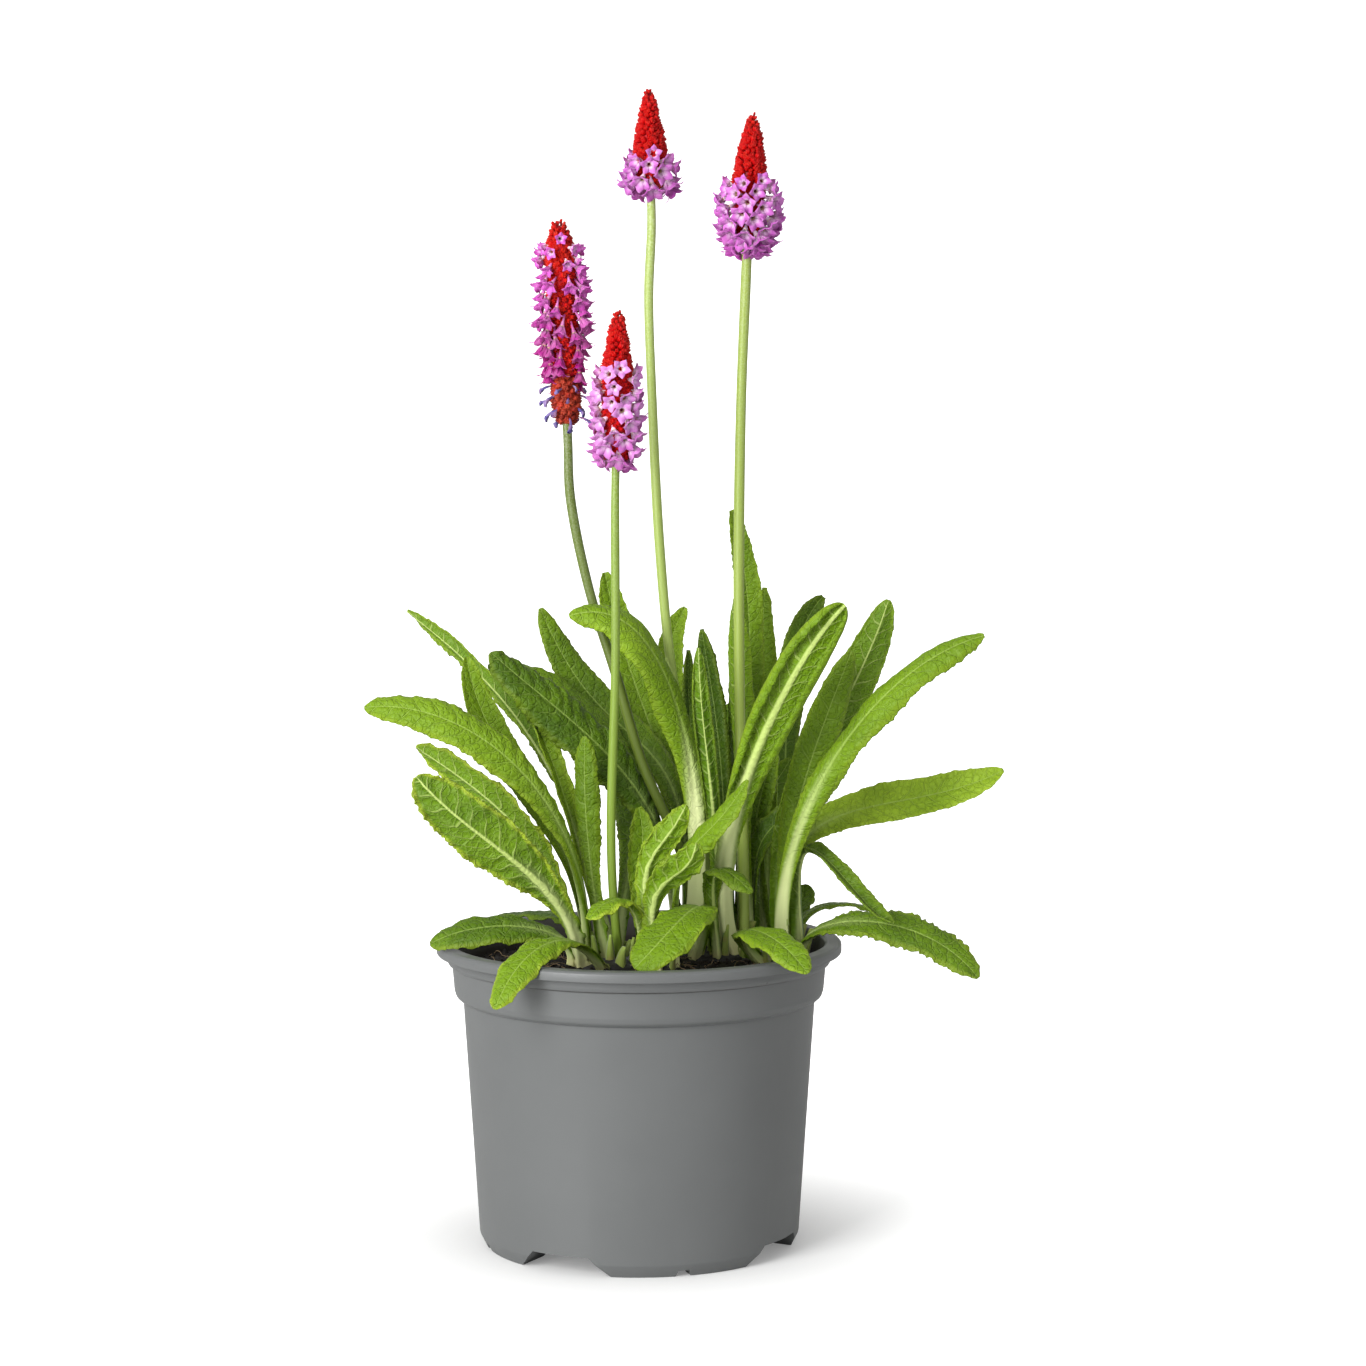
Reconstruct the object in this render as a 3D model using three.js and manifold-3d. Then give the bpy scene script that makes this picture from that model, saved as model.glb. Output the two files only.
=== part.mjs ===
// Potted orchid primrose: a plastic nursery pot of compost, three leafy crowns and four flower spikes.
// Millimetres, +Z up, the pot's feet at z = 0. The viewer of the plant's best side looks along +Y.
import * as THREE from "three";
import { mergeVertices } from "three/addons/utils/BufferGeometryUtils.js";
import Module from "manifold-3d";

const wasm = await Module();
wasm.setup();

// Driving dimensions
const POT_HEIGHT = 98;
const RIM_RADIUS = 65;
const WALL = 1.1;
const FIT_GAP = 0.3;
const POT_AXIS = [-16.3, -8];
const SOIL_EDGE_Z = 88;
const SOIL_DOME = 4.5;
const BLADE_THICKNESS = 0.8;
const POT_SIDES = 32;
const GOLDEN_ANGLE = THREE.MathUtils.degToRad(137.508);

const potGrey = { color: 0x77797c, roughness: 0.45, metalness: 0 };
const compost = { color: 0x2b201a, roughness: 1, metalness: 0 };
const leafGreen = { color: 0x6d9a2c, roughness: 0.6, metalness: 0 };
const paleGreen = { color: 0x9dbd58, roughness: 0.5, metalness: 0 };
const budRed = { color: 0xc0161a, roughness: 0.6, metalness: 0 };
const floretViolet = { color: 0xc669d6, roughness: 0.6, metalness: 0 };
const spentBrown = { color: 0x7c2a1e, roughness: 0.8, metalness: 0 };

const plant = new THREE.Group();
plant.position.set(POT_AXIS[0], POT_AXIS[1], 0);

function radians(degrees) {
  return THREE.MathUtils.degToRad(degrees);
}

// A closed geometry as a solid that can be joined and cut, and back again
function solid(geometry) {
  const plain = geometry.clone();
  plain.deleteAttribute("normal");
  plain.deleteAttribute("uv");
  const merged = mergeVertices(plain, 1e-4);
  return new wasm.Manifold(new wasm.Mesh({
    numProp: 3,
    vertProperties: new Float32Array(merged.attributes.position.array),
    triVerts: new Uint32Array(merged.index.array),
  }));
}

function geometryOf(body) {
  const mesh = body.getMesh();
  const geometry = new THREE.BufferGeometry();
  geometry.setAttribute("position", new THREE.BufferAttribute(mesh.vertProperties, 3));
  geometry.setIndex(new THREE.BufferAttribute(mesh.triVerts, 1));
  return geometry;
}

// The largest body of a cut piece, without loose scraps
function largestBody(body) {
  return body.decompose().reduce((best, next) => (next.volume() > best.volume() ? next : best));
}

function addPiece(name, body, material) {
  const geometry = geometryOf(body);
  geometry.computeVertexNormals();
  const mesh = new THREE.Mesh(geometry, new THREE.MeshStandardMaterial(material));
  mesh.name = name;
  plant.add(mesh);
  return mesh;
}

// A turned body about the z axis, from a profile of [radius, height] points that starts and ends on it
function turned(profile, sides) {
  const points = profile.map(([radius, height]) => new THREE.Vector2(radius, height));
  const geometry = new THREE.LatheGeometry(points, sides);
  geometry.rotateX(Math.PI / 2);
  return solid(geometry);
}

// A mesh from rings of points, one after the other, closed by a flat fan at each end. crossed tells
// whether the square that starts at a row and a column is split along its other diagonal
function lofted(rings, crossed = () => false) {
  const size = rings[0].length;
  const positions = rings.flat().flatMap((point) => [point.x, point.y, point.z]);
  const index = [];
  for (let row = 0; row + 1 < rings.length; row += 1) {
    for (let i = 0; i < size; i += 1) {
      const a = row * size + i;
      const b = row * size + ((i + 1) % size);
      if (crossed(row, i)) {
        index.push(a, b, a + size, b, b + size, a + size);
      } else {
        index.push(a, b, b + size, a, b + size, a + size);
      }
    }
  }
  const last = (rings.length - 1) * size;
  for (let i = 1; i + 1 < size; i += 1) {
    index.push(0, i + 1, i);
    index.push(last, last + i, last + i + 1);
  }
  const geometry = new THREE.BufferGeometry();
  geometry.setAttribute("position", new THREE.Float32BufferAttribute(positions, 3));
  geometry.setIndex(index);
  return geometry;
}

// Pot: a thin moulded cup with a rolled rim, a collar, and a floor raised on four feet
const FLOOR_Z = 6;
const FLOOR_THICKNESS = 1.6;
const FOOT_RADIUS = 49.5;
const FOOT_ROUNDING = 2;
const FOOT_COUNT = 4;
const FOOT_MIDDLE_ANGLE = 16.65;
const FOOT_GAP_WIDTH = 27;
const FOOT_GAP_FLARE = 7;
const FOOT_DEPTH = 12;
const FOOT_NOTCH_WIDTH = 5.6;
const FOOT_NOTCH_HEIGHT = 2;

function pot() {
  const outside = [
    [FOOT_RADIUS, 0],
    [FOOT_RADIUS + FOOT_ROUNDING, 4],
    [56.4, 78],
    [59.2, 82],
    [60, 91.5],
    [61.8, 93.4],
    [RIM_RADIUS, 95],
    [RIM_RADIUS, 97.3],
    [RIM_RADIUS - 0.8, POT_HEIGHT],
    [60.4, POT_HEIGHT],
    [59.6, POT_HEIGHT - 0.8],
  ];
  const inside = [
    [58.6, 90],
    [59.2 - WALL, 82.6],
    [56.4 - WALL, 78.6],
    [50.9 - WALL, FLOOR_Z + FLOOR_THICKNESS],
    [0, FLOOR_Z + FLOOR_THICKNESS],
  ];
  const cup = turned([[0, 0], ...outside, ...inside], POT_SIDES);
  const recess = turned([[0, -1], [FOOT_RADIUS - FOOT_DEPTH, -1], [FOOT_RADIUS - FOOT_DEPTH - 2, FLOOR_Z],
    [0, FLOOR_Z]], POT_SIDES);
  const cuts = [recess];
  for (let i = 0; i < FOOT_COUNT; i += 1) {
    const angle = radians(FOOT_MIDDLE_ANGLE + (360 / FOOT_COUNT) * i - 90);
    cuts.push(footGap(angle + Math.PI / FOOT_COUNT));
    cuts.push(footNotch(angle));
  }
  return cup.subtract(wasm.Manifold.union(cuts));
}

// The drain channel between two feet: wider at the ground than at the floor
function footGap(angle) {
  const half = FOOT_GAP_WIDTH / 2;
  const shape = new THREE.Shape();
  shape.moveTo(-half - FOOT_GAP_FLARE / 2, -1);
  shape.lineTo(half + FOOT_GAP_FLARE / 2, -1);
  shape.lineTo(half - FOOT_GAP_FLARE / 2, FLOOR_Z);
  shape.lineTo(-half + FOOT_GAP_FLARE / 2, FLOOR_Z);
  return radialCut(shape, angle);
}

function footNotch(angle) {
  const half = FOOT_NOTCH_WIDTH / 2;
  const shape = new THREE.Shape();
  shape.moveTo(-half, -1);
  shape.lineTo(half, -1);
  shape.lineTo(half, 0.4);
  shape.lineTo(half - 1, FOOT_NOTCH_HEIGHT);
  shape.lineTo(1 - half, FOOT_NOTCH_HEIGHT);
  shape.lineTo(-half, 0.4);
  return radialCut(shape, angle);
}

// A cutter with the given section that runs out from the axis at an angle in plan
function radialCut(shape, angle) {
  const geometry = new THREE.ExtrudeGeometry(shape, { depth: RIM_RADIUS, bevelEnabled: false });
  geometry.rotateX(Math.PI / 2);
  geometry.rotateZ(angle + Math.PI / 2);
  return solid(geometry);
}

// Compost: a plug that fills the pot, with a domed top where the crowns stand
const SOIL_TOP_RADIUS = 57.9;

function soilHeight(radius) {
  const share = Math.min(radius / SOIL_TOP_RADIUS, 1);
  return SOIL_EDGE_Z + SOIL_DOME * (1 - share * share);
}

function soil() {
  const top = [1, 0.75, 0.45, 0].map((share) => share * SOIL_TOP_RADIUS);
  const profile = [
    [0, FLOOR_Z + FLOOR_THICKNESS + FIT_GAP],
    [50.9 - WALL - FIT_GAP, FLOOR_Z + FLOOR_THICKNESS + FIT_GAP],
    [56.2 - WALL - FIT_GAP, 78],
    [58.8 - WALL - FIT_GAP, 83],
    ...top.map((radius) => [radius, soilHeight(radius)]),
  ];
  return turned(profile, POT_SIDES);
}

// Crowns: the short knobbly stems that the leaves spring from, sunk in the compost
const CROWN_SINK = 9;
const CROWN_RISE = 3.5;
const CROWNS = {
  left: { centre: [-9.5, -13], radius: 11.6 },
  front: { centre: [6, -23], radius: 6.4 },
  middle: { centre: [23, 8], radius: 13 },
  right: { centre: [42, 8], radius: 13.5 },
};

function crownTop(centre) {
  return soilHeight(Math.hypot(...centre)) + CROWN_RISE;
}

function crownStem({ centre, radius }, clearance = 0) {
  const top = crownTop(centre) + clearance;
  const bottom = top - CROWN_RISE - CROWN_SINK - 2 * clearance;
  const wide = radius + clearance;
  const stem = turned([[0, bottom], [wide * 0.7, bottom], [wide, top - CROWN_RISE], [wide * 0.75, top - 1],
    [0, top]], 10);
  return stem.translate(centre[0], centre[1], 0);
}

// Leaves: each has its root on a crown, given as [distance, direction] from the crown's middle, then
// three more points of its midrib up to the tip, and its widest breadth. roll turns the blade about its
// midrib, positive lifting the left margin as seen looking out along the leaf.
const ROOT_SINK = 3.5;
const LEAVES = {
  leaf_left_01: { crown: "left", root: [6, 200], rib: [[-25, -24, 139], [-52, -28, 168], [-86, -22, 175]],
    width: 13, roll: -60, cup: -0.25 },
  leaf_left_02: { crown: "left", root: [6, 115], rib: [[-21, 6, 138], [-44, 20, 174], [-76, 32, 202]],
    width: 10, roll: 50, cup: 0.3 },
  leaf_left_03: { crown: "left", root: [6, 150], rib: [[-26, -7, 132], [-43, -4, 159], [-55, 2, 189]],
    width: 10.5, roll: -50, cup: 0.2 },
  leaf_left_04: { crown: "left", root: [4, 60], rib: [[-19, -7, 130], [-26, -4, 152], [-36, 2, 176]],
    width: 6, roll: -30, cup: 0.6 },
  leaf_left_05: { crown: "left", root: [10, 176], rib: [[-27, -16, 122], [-46, -17, 145], [-70, -13, 162]],
    width: 13, roll: 50, cup: 0.2 },
  leaf_left_06: { crown: "left", root: [9.5, 216], rib: [[-27, -36, 118], [-46, -50, 137], [-67, -56, 157]],
    width: 17.5, roll: 60, cup: 0.15 },
  leaf_left_07: { crown: "left", root: [11, 194], rib: [[-27, -19, 103], [-46, -23, 106], [-66, -21, 100]],
    width: 13, roll: -35, cup: -0.2 },
  leaf_left_08: { crown: "left", root: [10, 262], rib: [[-21, -38, 104], [-33, -54, 102], [-43, -65, 87]],
    width: 12, roll: -15, cup: -0.2 },
  leaf_left_09: { crown: "left", root: [10, 130], rib: [[-22, 8, 103], [-34, 22, 104], [-47, 34, 101]],
    width: 12, roll: 0, cup: -0.2 },
  leaf_left_10: { crown: "left", root: [5, 265], rib: [[-15, -17, 123], [-17, -15, 145], [-17, -15, 165]],
    width: 8.5, roll: 0, cup: 0.4, facing: 250 },
  leaf_front_01: { crown: "front", root: [4.5, 190], rib: [[-1, -28, 113], [-9, -36, 116], [-15, -42, 111]],
    width: 10, roll: 0, cup: -0.3 },
  leaf_front_02: { crown: "front", root: [4.5, 270], rib: [[5, -30, 116], [12, -38, 125], [18, -44, 135]],
    width: 11, roll: -30, cup: 0.3 },
  leaf_front_03: { crown: "front", root: [1, 60], rib: [[2, -22, 119], [7, -24, 132], [15, -22, 144]],
    width: 9, roll: -30, cup: 0.3, facing: -60 },
  leaf_front_04: { crown: "front", root: [4.5, 110], rib: [[0, -14, 117], [1, -12, 129], [0, -10, 142]],
    width: 8, roll: 0, cup: 0.3, facing: 90 },
  leaf_front_05: { crown: "front", root: [5, 20], rib: [[12, -20, 122], [20, -27, 135], [34, -29, 153]],
    width: 10, roll: 55, cup: -0.3 },
  leaf_middle_01: { crown: "middle", root: [10, 190], rib: [[5, 4, 136], [-17, -2, 165], [-47, -4, 191]],
    width: 17, roll: -60, cup: -0.25 },
  leaf_middle_02: { crown: "middle", root: [10.4, 160], rib: [[3, 18, 139], [-21, 28, 171], [-50, 32, 184]],
    width: 15, roll: -30, cup: -0.2 },
  leaf_middle_03: { crown: "middle", root: [10.2, 134], rib: [[10, 22, 146], [-9, 36, 166], [-33, 42, 202]],
    width: 13, roll: -50, cup: -0.2 },
  leaf_middle_04: { crown: "middle", root: [9, 215], rib: [[18, -2, 142], [6, -7, 189], [-22, -10, 203]],
    width: 15, roll: -50, cup: -0.35 },
  leaf_middle_05: { crown: "middle", root: [10.6, 110], rib: [[13, 32, 135], [0, 50, 171], [-12, 58, 213]],
    width: 13, roll: 0, cup: 0.2, facing: 105 },
  leaf_middle_06: { crown: "middle", root: [10.5, 84], rib: [[18, 44, 138], [10, 66, 173], [15, 80, 200]],
    width: 9, roll: 0, cup: 0.2, facing: 95 },
  leaf_middle_07: { crown: "middle", root: [4, 90], rib: [[20, 14, 132], [17, 16, 162], [16, 16, 190]],
    width: 6, roll: 0, cup: 0.4, facing: 120 },
  leaf_middle_08: { crown: "middle", root: [5, 305], rib: [[24, -2, 137], [21, -9, 165], [19, -13, 193]],
    width: 9.5, roll: 0, cup: 0.7, facing: 270 },
  leaf_middle_09: { crown: "middle", root: [6.5, 30], rib: [[27, 10, 142], [24, 12, 172], [20, 12, 197]],
    width: 8, roll: 0, cup: 0.4, facing: 60 },
  leaf_middle_10: { crown: "middle", root: [9.5, 325], rib: [[29, -12, 133], [45, -30, 179], [64, -38, 208]],
    width: 14.5, roll: -40, cup: 0.35 },
  leaf_middle_11: { crown: "middle", root: [10.5, 240], rib: [[20, -18, 111.5], [12, -39.5, 109.5], [-1, -50, 97]],
    width: 19, roll: 0, cup: -0.15 },
  leaf_middle_12: { crown: "middle", root: [10, 280], rib: [[23, -9, 116], [26, -19, 124], [36, -26, 117]],
    width: 9, roll: 0, cup: -0.2 },
  leaf_right_01: { crown: "right", root: [10, 150], rib: [[35, 22, 144], [36, 26, 193], [30, 22, 235]],
    width: 9, roll: 0, cup: 0.3, facing: 110 },
  leaf_right_02: { crown: "right", root: [7, 190], rib: [[33, 10, 132], [32, 10, 168], [31, 10, 207]],
    width: 9, roll: 0, cup: 0.7, facing: 240 },
  leaf_right_03: { crown: "right", root: [7, 100], rib: [[42, 28, 139], [41, 36, 175], [41, 40, 209]],
    width: 8, roll: 0, cup: 0.3 },
  leaf_right_04: { crown: "right", root: [8.5, 74], rib: [[48, 46, 142.5], [51, 60, 180.5], [61.5, 66, 204.5]],
    width: 10, roll: 30, cup: 0.3 },
  leaf_right_05: { crown: "right", root: [4.5, 15], rib: [[47, 4, 131], [62.5, -5, 169], [79, -10, 208]],
    width: 14, roll: -60, cup: 0.25 },
  leaf_right_06: { crown: "right", root: [5.5, 325], rib: [[48, -3, 127], [55, -11, 158], [67, -17, 192]],
    width: 12, roll: -50, cup: 0.25 },
  leaf_right_07: { crown: "right", root: [9.5, 300], rib: [[51, -15, 136], [74, -25, 176], [108, -26, 198]],
    width: 12, roll: 55, cup: -0.3 },
  leaf_right_08: { crown: "right", root: [9, 28], rib: [[54, 15, 129], [82, 20, 140], [118, 16, 151]],
    width: 13, roll: 45, cup: 0.2 },
  leaf_right_09: { crown: "right", root: [10, 358], rib: [[53, 3, 127], [66, -10, 119], [80, -26, 108]],
    width: 6, roll: 10, cup: 0.6 },
  leaf_right_10: { crown: "right", root: [11, 332], rib: [[59, -10, 104], [83, -18, 105], [107, -26, 90]],
    width: 13, roll: 35, cup: -0.2 },
  leaf_right_11: { crown: "right", root: [11.5, 46], rib: [[57, 22, 105], [72, 30, 105], [85, 34, 101]],
    width: 8, roll: 0, cup: -0.2 },
  leaf_right_12: { crown: "right", root: [10.5, 262], rib: [[33, -18, 103], [40, -39, 106], [52, -58, 97]],
    width: 12.5, roll: 10, cup: -0.15 },
  leaf_right_13: { crown: "right", root: [4, 170], rib: [[37, 9, 119], [41.5, 8.5, 132], [51, 9, 140]],
    width: 10, roll: 40, cup: 0.2 },
  leaf_right_14: { crown: "right", root: [10, 124], rib: [[37, 26, 120], [41, 36, 137], [50, 42, 152]],
    width: 9, roll: 20, cup: 0.2 },
  leaf_right_15: { crown: "right", root: [3.5, 100], rib: [[38, 15, 125], [39, 16, 141], [44, 16, 159]],
    width: 8, roll: 20, cup: 0.2 },
};

// Small and hidden leaves that grow as one with their crown
const CROWN_LEAVES = {
  left: [
    { crown: "left", root: [7, 75], rib: [[-3, 20, 124], [-4, 44, 143], [-14, 60, 162]],
      width: 13, roll: 0, cup: -0.2 },
  ],
  front: [],
  right: [
    { crown: "middle", root: [10, 62], rib: [[26, 28, 124], [28, 50, 148], [30, 70, 168]],
      width: 13, roll: 0, cup: -0.2 },
    { crown: "right", root: [10.3, 98], rib: [[40, 46, 116], [42, 66, 138], [45, 80, 158]],
      width: 13, roll: 0, cup: -0.2 },
    { crown: "right", root: [11.7, 64], rib: [[50, 28, 100], [53, 36, 105], [54, 41, 110]],
      width: 9, roll: 0, cup: 0.2 },
  ],
};

const WIDEST_AT = 0.67;
const BLADE_STARTS_AT = 0.12;
const TOOTH = 0.7;
const ACROSS = [-1, -0.5, 0, 0.5, 1];

function smoothStep(from, to, value) {
  const share = THREE.MathUtils.clamp((value - from) / (to - from), 0, 1);
  return share * share * (3 - 2 * share);
}

function petioleHalfWidth(leaf) {
  return 1.5 + 0.06 * leaf.width;
}

function halfWidth(leaf, t) {
  const stalk = petioleHalfWidth(leaf);
  if (t < WIDEST_AT) {
    return stalk + (leaf.width / 2 - stalk) * smoothStep(BLADE_STARTS_AT, WIDEST_AT, t);
  }
  const toTip = (t - WIDEST_AT) / (1 - WIDEST_AT);
  return Math.max((leaf.width / 2) * Math.sqrt(1 - toTip ** 2.2), 0.7);
}

// The curve of the midrib: a cubic that passes through the root and the three rib points
function ribCurve(leaf) {
  const { centre } = CROWNS[leaf.crown];
  const [distance, direction] = leaf.root;
  const root = new THREE.Vector3(
    centre[0] + distance * Math.cos(radians(direction)),
    centre[1] + distance * Math.sin(radians(direction)),
    crownTop(centre) - ROOT_SINK,
  );
  const [lower, upper, tip] = leaf.rib.map((point) => new THREE.Vector3(...point));
  const firstHandle = new THREE.Vector3()
    .addScaledVector(root, -5 / 6).addScaledVector(lower, 3).addScaledVector(upper, -1.5)
    .addScaledVector(tip, 1 / 3);
  const secondHandle = new THREE.Vector3()
    .addScaledVector(root, 1 / 3).addScaledVector(lower, -1.5).addScaledVector(upper, 3)
    .addScaledVector(tip, -5 / 6);
  return new THREE.CubicBezierCurve3(root, firstHandle, secondHandle, tip);
}

// The directions along, across and square to the blade at t. The across direction starts level and
// square to the way the leaf leans, or to its facing, and is rolled about the midrib
function bladeFrame(leaf, curve, t) {
  const lean = curve.v3.clone().sub(curve.v0);
  const facing = leaf.facing === undefined ? Math.atan2(lean.y, lean.x) : radians(leaf.facing);
  const along = curve.getTangent(t);
  const level = new THREE.Vector3(-Math.sin(facing), Math.cos(facing), 0);
  const across = level.addScaledVector(along, -level.dot(along)).normalize();
  across.applyAxisAngle(along, radians(leaf.roll) * smoothStep(0, 0.5, t));
  return { across, square: along.clone().cross(across) };
}

// Height of the blade's upper face over its midrib line at u, from -1 on one margin to 1 on the other
function bladeRise(leaf, t, u, half) {
  const cupped = leaf.cup * half * Math.abs(u) ** 1.5;
  const waved = 0.12 * half * u * u * Math.sin(2 * Math.PI * 4.5 * t + 1.7 * Math.sign(u));
  return (cupped + waved) * smoothStep(BLADE_STARTS_AT, 0.5, t);
}

function ribDepth(leaf, t) {
  return THREE.MathUtils.lerp(petioleHalfWidth(leaf) * 0.9, 0.3, Math.min(t * 1.6, 1));
}

function leafStations(leaf) {
  const count = leaf.width > 11 ? 9 : 7;
  return Array.from({ length: count }, (_, i) => 1 - (1 - i / (count - 1)) ** 1.15);
}

// A leaf: a toothed, waved blade with a thick midrib below, narrowing to its stalk at the root
function leafBody(leaf) {
  const curve = ribCurve(leaf);
  const rings = leafStations(leaf).map((t, station) => {
    const { across, square } = bladeFrame(leaf, curve, t);
    const centre = curve.getPoint(t);
    const blade = smoothStep(BLADE_STARTS_AT, 0.45, t);
    const tooth = station % 2 === 1 && t < 0.97 ? TOOTH * blade : 0;
    const half = halfWidth(leaf, t) - tooth;
    const at = (u, height) => centre.clone()
      .addScaledVector(across, u * half)
      .addScaledVector(square, height);
    const upper = ACROSS.map((u) => at(u, bladeRise(leaf, t, u, half)));
    const lower = ACROSS.map((u) => {
      const thickness = BLADE_THICKNESS + (u === 0 ? ribDepth(leaf, t) : 0);
      return at(u, bladeRise(leaf, t, u, half) - thickness);
    });
    return [...upper, ...lower.reverse()];
  });
  return solid(bladeSkin(rings));
}

// The hole in the crown that a leaf's stalk stands in, clear of it on all sides
function rootHole(leaf) {
  const curve = ribCurve(leaf);
  const rings = [0, 0.1].map((t) => {
    const { across, square } = bladeFrame(leaf, curve, t);
    const start = t === 0 ? -FIT_GAP : 0;
    const centre = curve.getPoint(t).addScaledVector(curve.getTangent(t), start);
    const side = halfWidth(leaf, t) + FIT_GAP;
    const below = -BLADE_THICKNESS - ribDepth(leaf, t) - FIT_GAP;
    const corners = [[-side, FIT_GAP], [-side, below], [side, below], [side, FIT_GAP]];
    return corners.map(([u, height]) => centre.clone()
      .addScaledVector(across, u).addScaledVector(square, height));
  });
  return solid(lofted(rings));
}

// The skin of a blade: both faces are split into triangles along the same diagonals
function bladeSkin(rings) {
  const count = ACROSS.length;
  const size = 2 * count;
  const positions = rings.flat().flatMap((point) => [point.x, point.y, point.z]);
  const index = [];
  const quad = (a, b, c, d) => index.push(a, c, b, a, d, c);
  for (let row = 0; row + 1 < rings.length; row += 1) {
    const start = row * size;
    const next = start + size;
    for (let i = 0; i + 1 < count; i += 1) {
      const j = size - 1 - i;
      quad(start + i, start + i + 1, next + i + 1, next + i);
      index.push(start + j, next + j - 1, next + j, start + j, start + j - 1, next + j - 1);
    }
    quad(start + count - 1, start + count, next + count, next + count - 1);
    quad(start + size - 1, start, next, next + size - 1);
  }
  const last = (rings.length - 1) * size;
  for (let i = 0; i + 1 < count; i += 1) {
    const j = size - 1 - i;
    index.push(i, j - 1, j, i, i + 1, j - 1);
    index.push(last + i, last + j, last + j - 1, last + i, last + j - 1, last + i + 1);
  }
  const geometry = new THREE.BufferGeometry();
  geometry.setAttribute("position", new THREE.Float32BufferAttribute(positions, 3));
  geometry.setIndex(index);
  return geometry;
}

// Scapes: the bare flower stalks, from the crown up into the core of the spike
const SCAPE_SIDES = 6;
const SCAPE_STEPS = 12;
const SCAPES = {
  scape_back_left: { radius: 1.5, route: [[18, 10, 88], [15, 6, 120], [0.5, 4, 156], [-7, 2, 182],
    [-16, 2, 211], [-21.8, 2, 240], [-22.5, 2, 257], [-22.9, 2, 267]] },
  scape_front_left: { radius: 1.3, route: [[-6, -15, 88], [-8.5, -20, 129], [-7, -25, 190], [-7, -25, 238],
    [-6.7, -25, 256]] },
  scape_tallest: { radius: 1.45, route: [[24, 6, 88], [20, 6, 130], [10.5, 6, 184], [6.5, 6, 226], [4.1, 6, 275],
    [3.2, 6, 304], [4.1, 6, 326], [3.8, 6, 340.5]] },
  scape_right: { radius: 1.6, route: [[34, 2, 88], [33.5, 4, 126], [32.5, 3, 162], [31.9, 2, 220],
    [32.6, 2, 271], [33.8, 2, 303], [34.6, 2, 323]] },
};

function scapeCurve(scape) {
  return new THREE.CatmullRomCurve3(scape.route.map((point) => new THREE.Vector3(...point)));
}

function scapeBody(scape, clearance = 0) {
  const shape = new THREE.Shape();
  for (let i = 0; i < SCAPE_SIDES; i += 1) {
    const angle = (2 * Math.PI * i) / SCAPE_SIDES;
    const radius = scape.radius + clearance;
    shape[i === 0 ? "moveTo" : "lineTo"](radius * Math.cos(angle), radius * Math.sin(angle));
  }
  const geometry = new THREE.ExtrudeGeometry(shape, { steps: SCAPE_STEPS, extrudePath: scapeCurve(scape) });
  return solid(geometry);
}

// Spikes: a dense head on each scape, of red buds over open florets, and on the oldest spent ones below.
// Heights are up the spike from its foot; a band of florets runs from the first height to the second
const SPIKES = {
  spike_back_left: { scape: "scape_back_left", height: 64.6, buds: [54, 4.6], florets: [15, 54, 10.3, 30],
    spent: [0, 15] },
  spike_front_left: { scape: "scape_front_left", height: 46.5, buds: [29, 4.8], florets: [0, 29, 9.4, 22] },
  spike_tallest: { scape: "scape_tallest", height: 32.5, buds: [12.5, 5.6], florets: [0, 12.5, 9.8, 14] },
  spike_right: { scape: "scape_right", height: 42, buds: [21, 5.8], florets: [0, 21, 11.6, 18] },
};
const SOCKET_DEPTH = 4;
const CORE_RADIUS = 4.2;
const FLORET_RADIUS = 3.9;
const PETALS = 5;

// One floret pointing along +Z: a funnel from its root that opens to a star of five petals
function floretBody(length, radius) {
  const positions = [0, 0, 0];
  for (let i = 0; i < 2 * PETALS; i += 1) {
    const angle = (Math.PI * i) / PETALS;
    const reach = i % 2 === 0 ? radius : radius * 0.45;
    const height = i % 2 === 0 ? length - 0.6 : length - 1;
    positions.push(reach * Math.cos(angle), reach * Math.sin(angle), height);
  }
  positions.push(0, 0, length);
  const throat = 1 + 2 * PETALS;
  const index = [];
  for (let i = 0; i < 2 * PETALS; i += 1) {
    const edge = 1 + i;
    const next = 1 + ((i + 1) % (2 * PETALS));
    index.push(0, next, edge, throat, edge, next);
  }
  const geometry = new THREE.BufferGeometry();
  geometry.setAttribute("position", new THREE.Float32BufferAttribute(positions, 3));
  geometry.setIndex(index);
  return geometry;
}

// Moves a geometry that points along +Z to the core's surface, pointing out at a turn and a slope
function placedOnCore(geometry, turn, height, start, slope) {
  geometry.rotateY(Math.PI / 2 - slope);
  geometry.translate(start, 0, 0);
  geometry.rotateZ(turn);
  geometry.translate(0, 0, height);
  return solid(geometry);
}

// Open florets round the core from a lower to an upper height, the lower ones hanging
function floretBand([low, high, reach, count]) {
  const bodies = [];
  for (let i = 0; i < count; i += 1) {
    const share = (i + 0.5) / count;
    const height = low + 4.5 + (high - low - 8) * share;
    const slope = radians(THREE.MathUtils.lerp(-40, 2, share));
    const size = FLORET_RADIUS * THREE.MathUtils.lerp(1, 0.8, share);
    const length = (reach - 1.2) * THREE.MathUtils.lerp(1, 0.82, share ** 2);
    bodies.push(placedOnCore(floretBody(length, size), i * GOLDEN_ANGLE, height, 1.2, slope));
  }
  return bodies;
}

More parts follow.
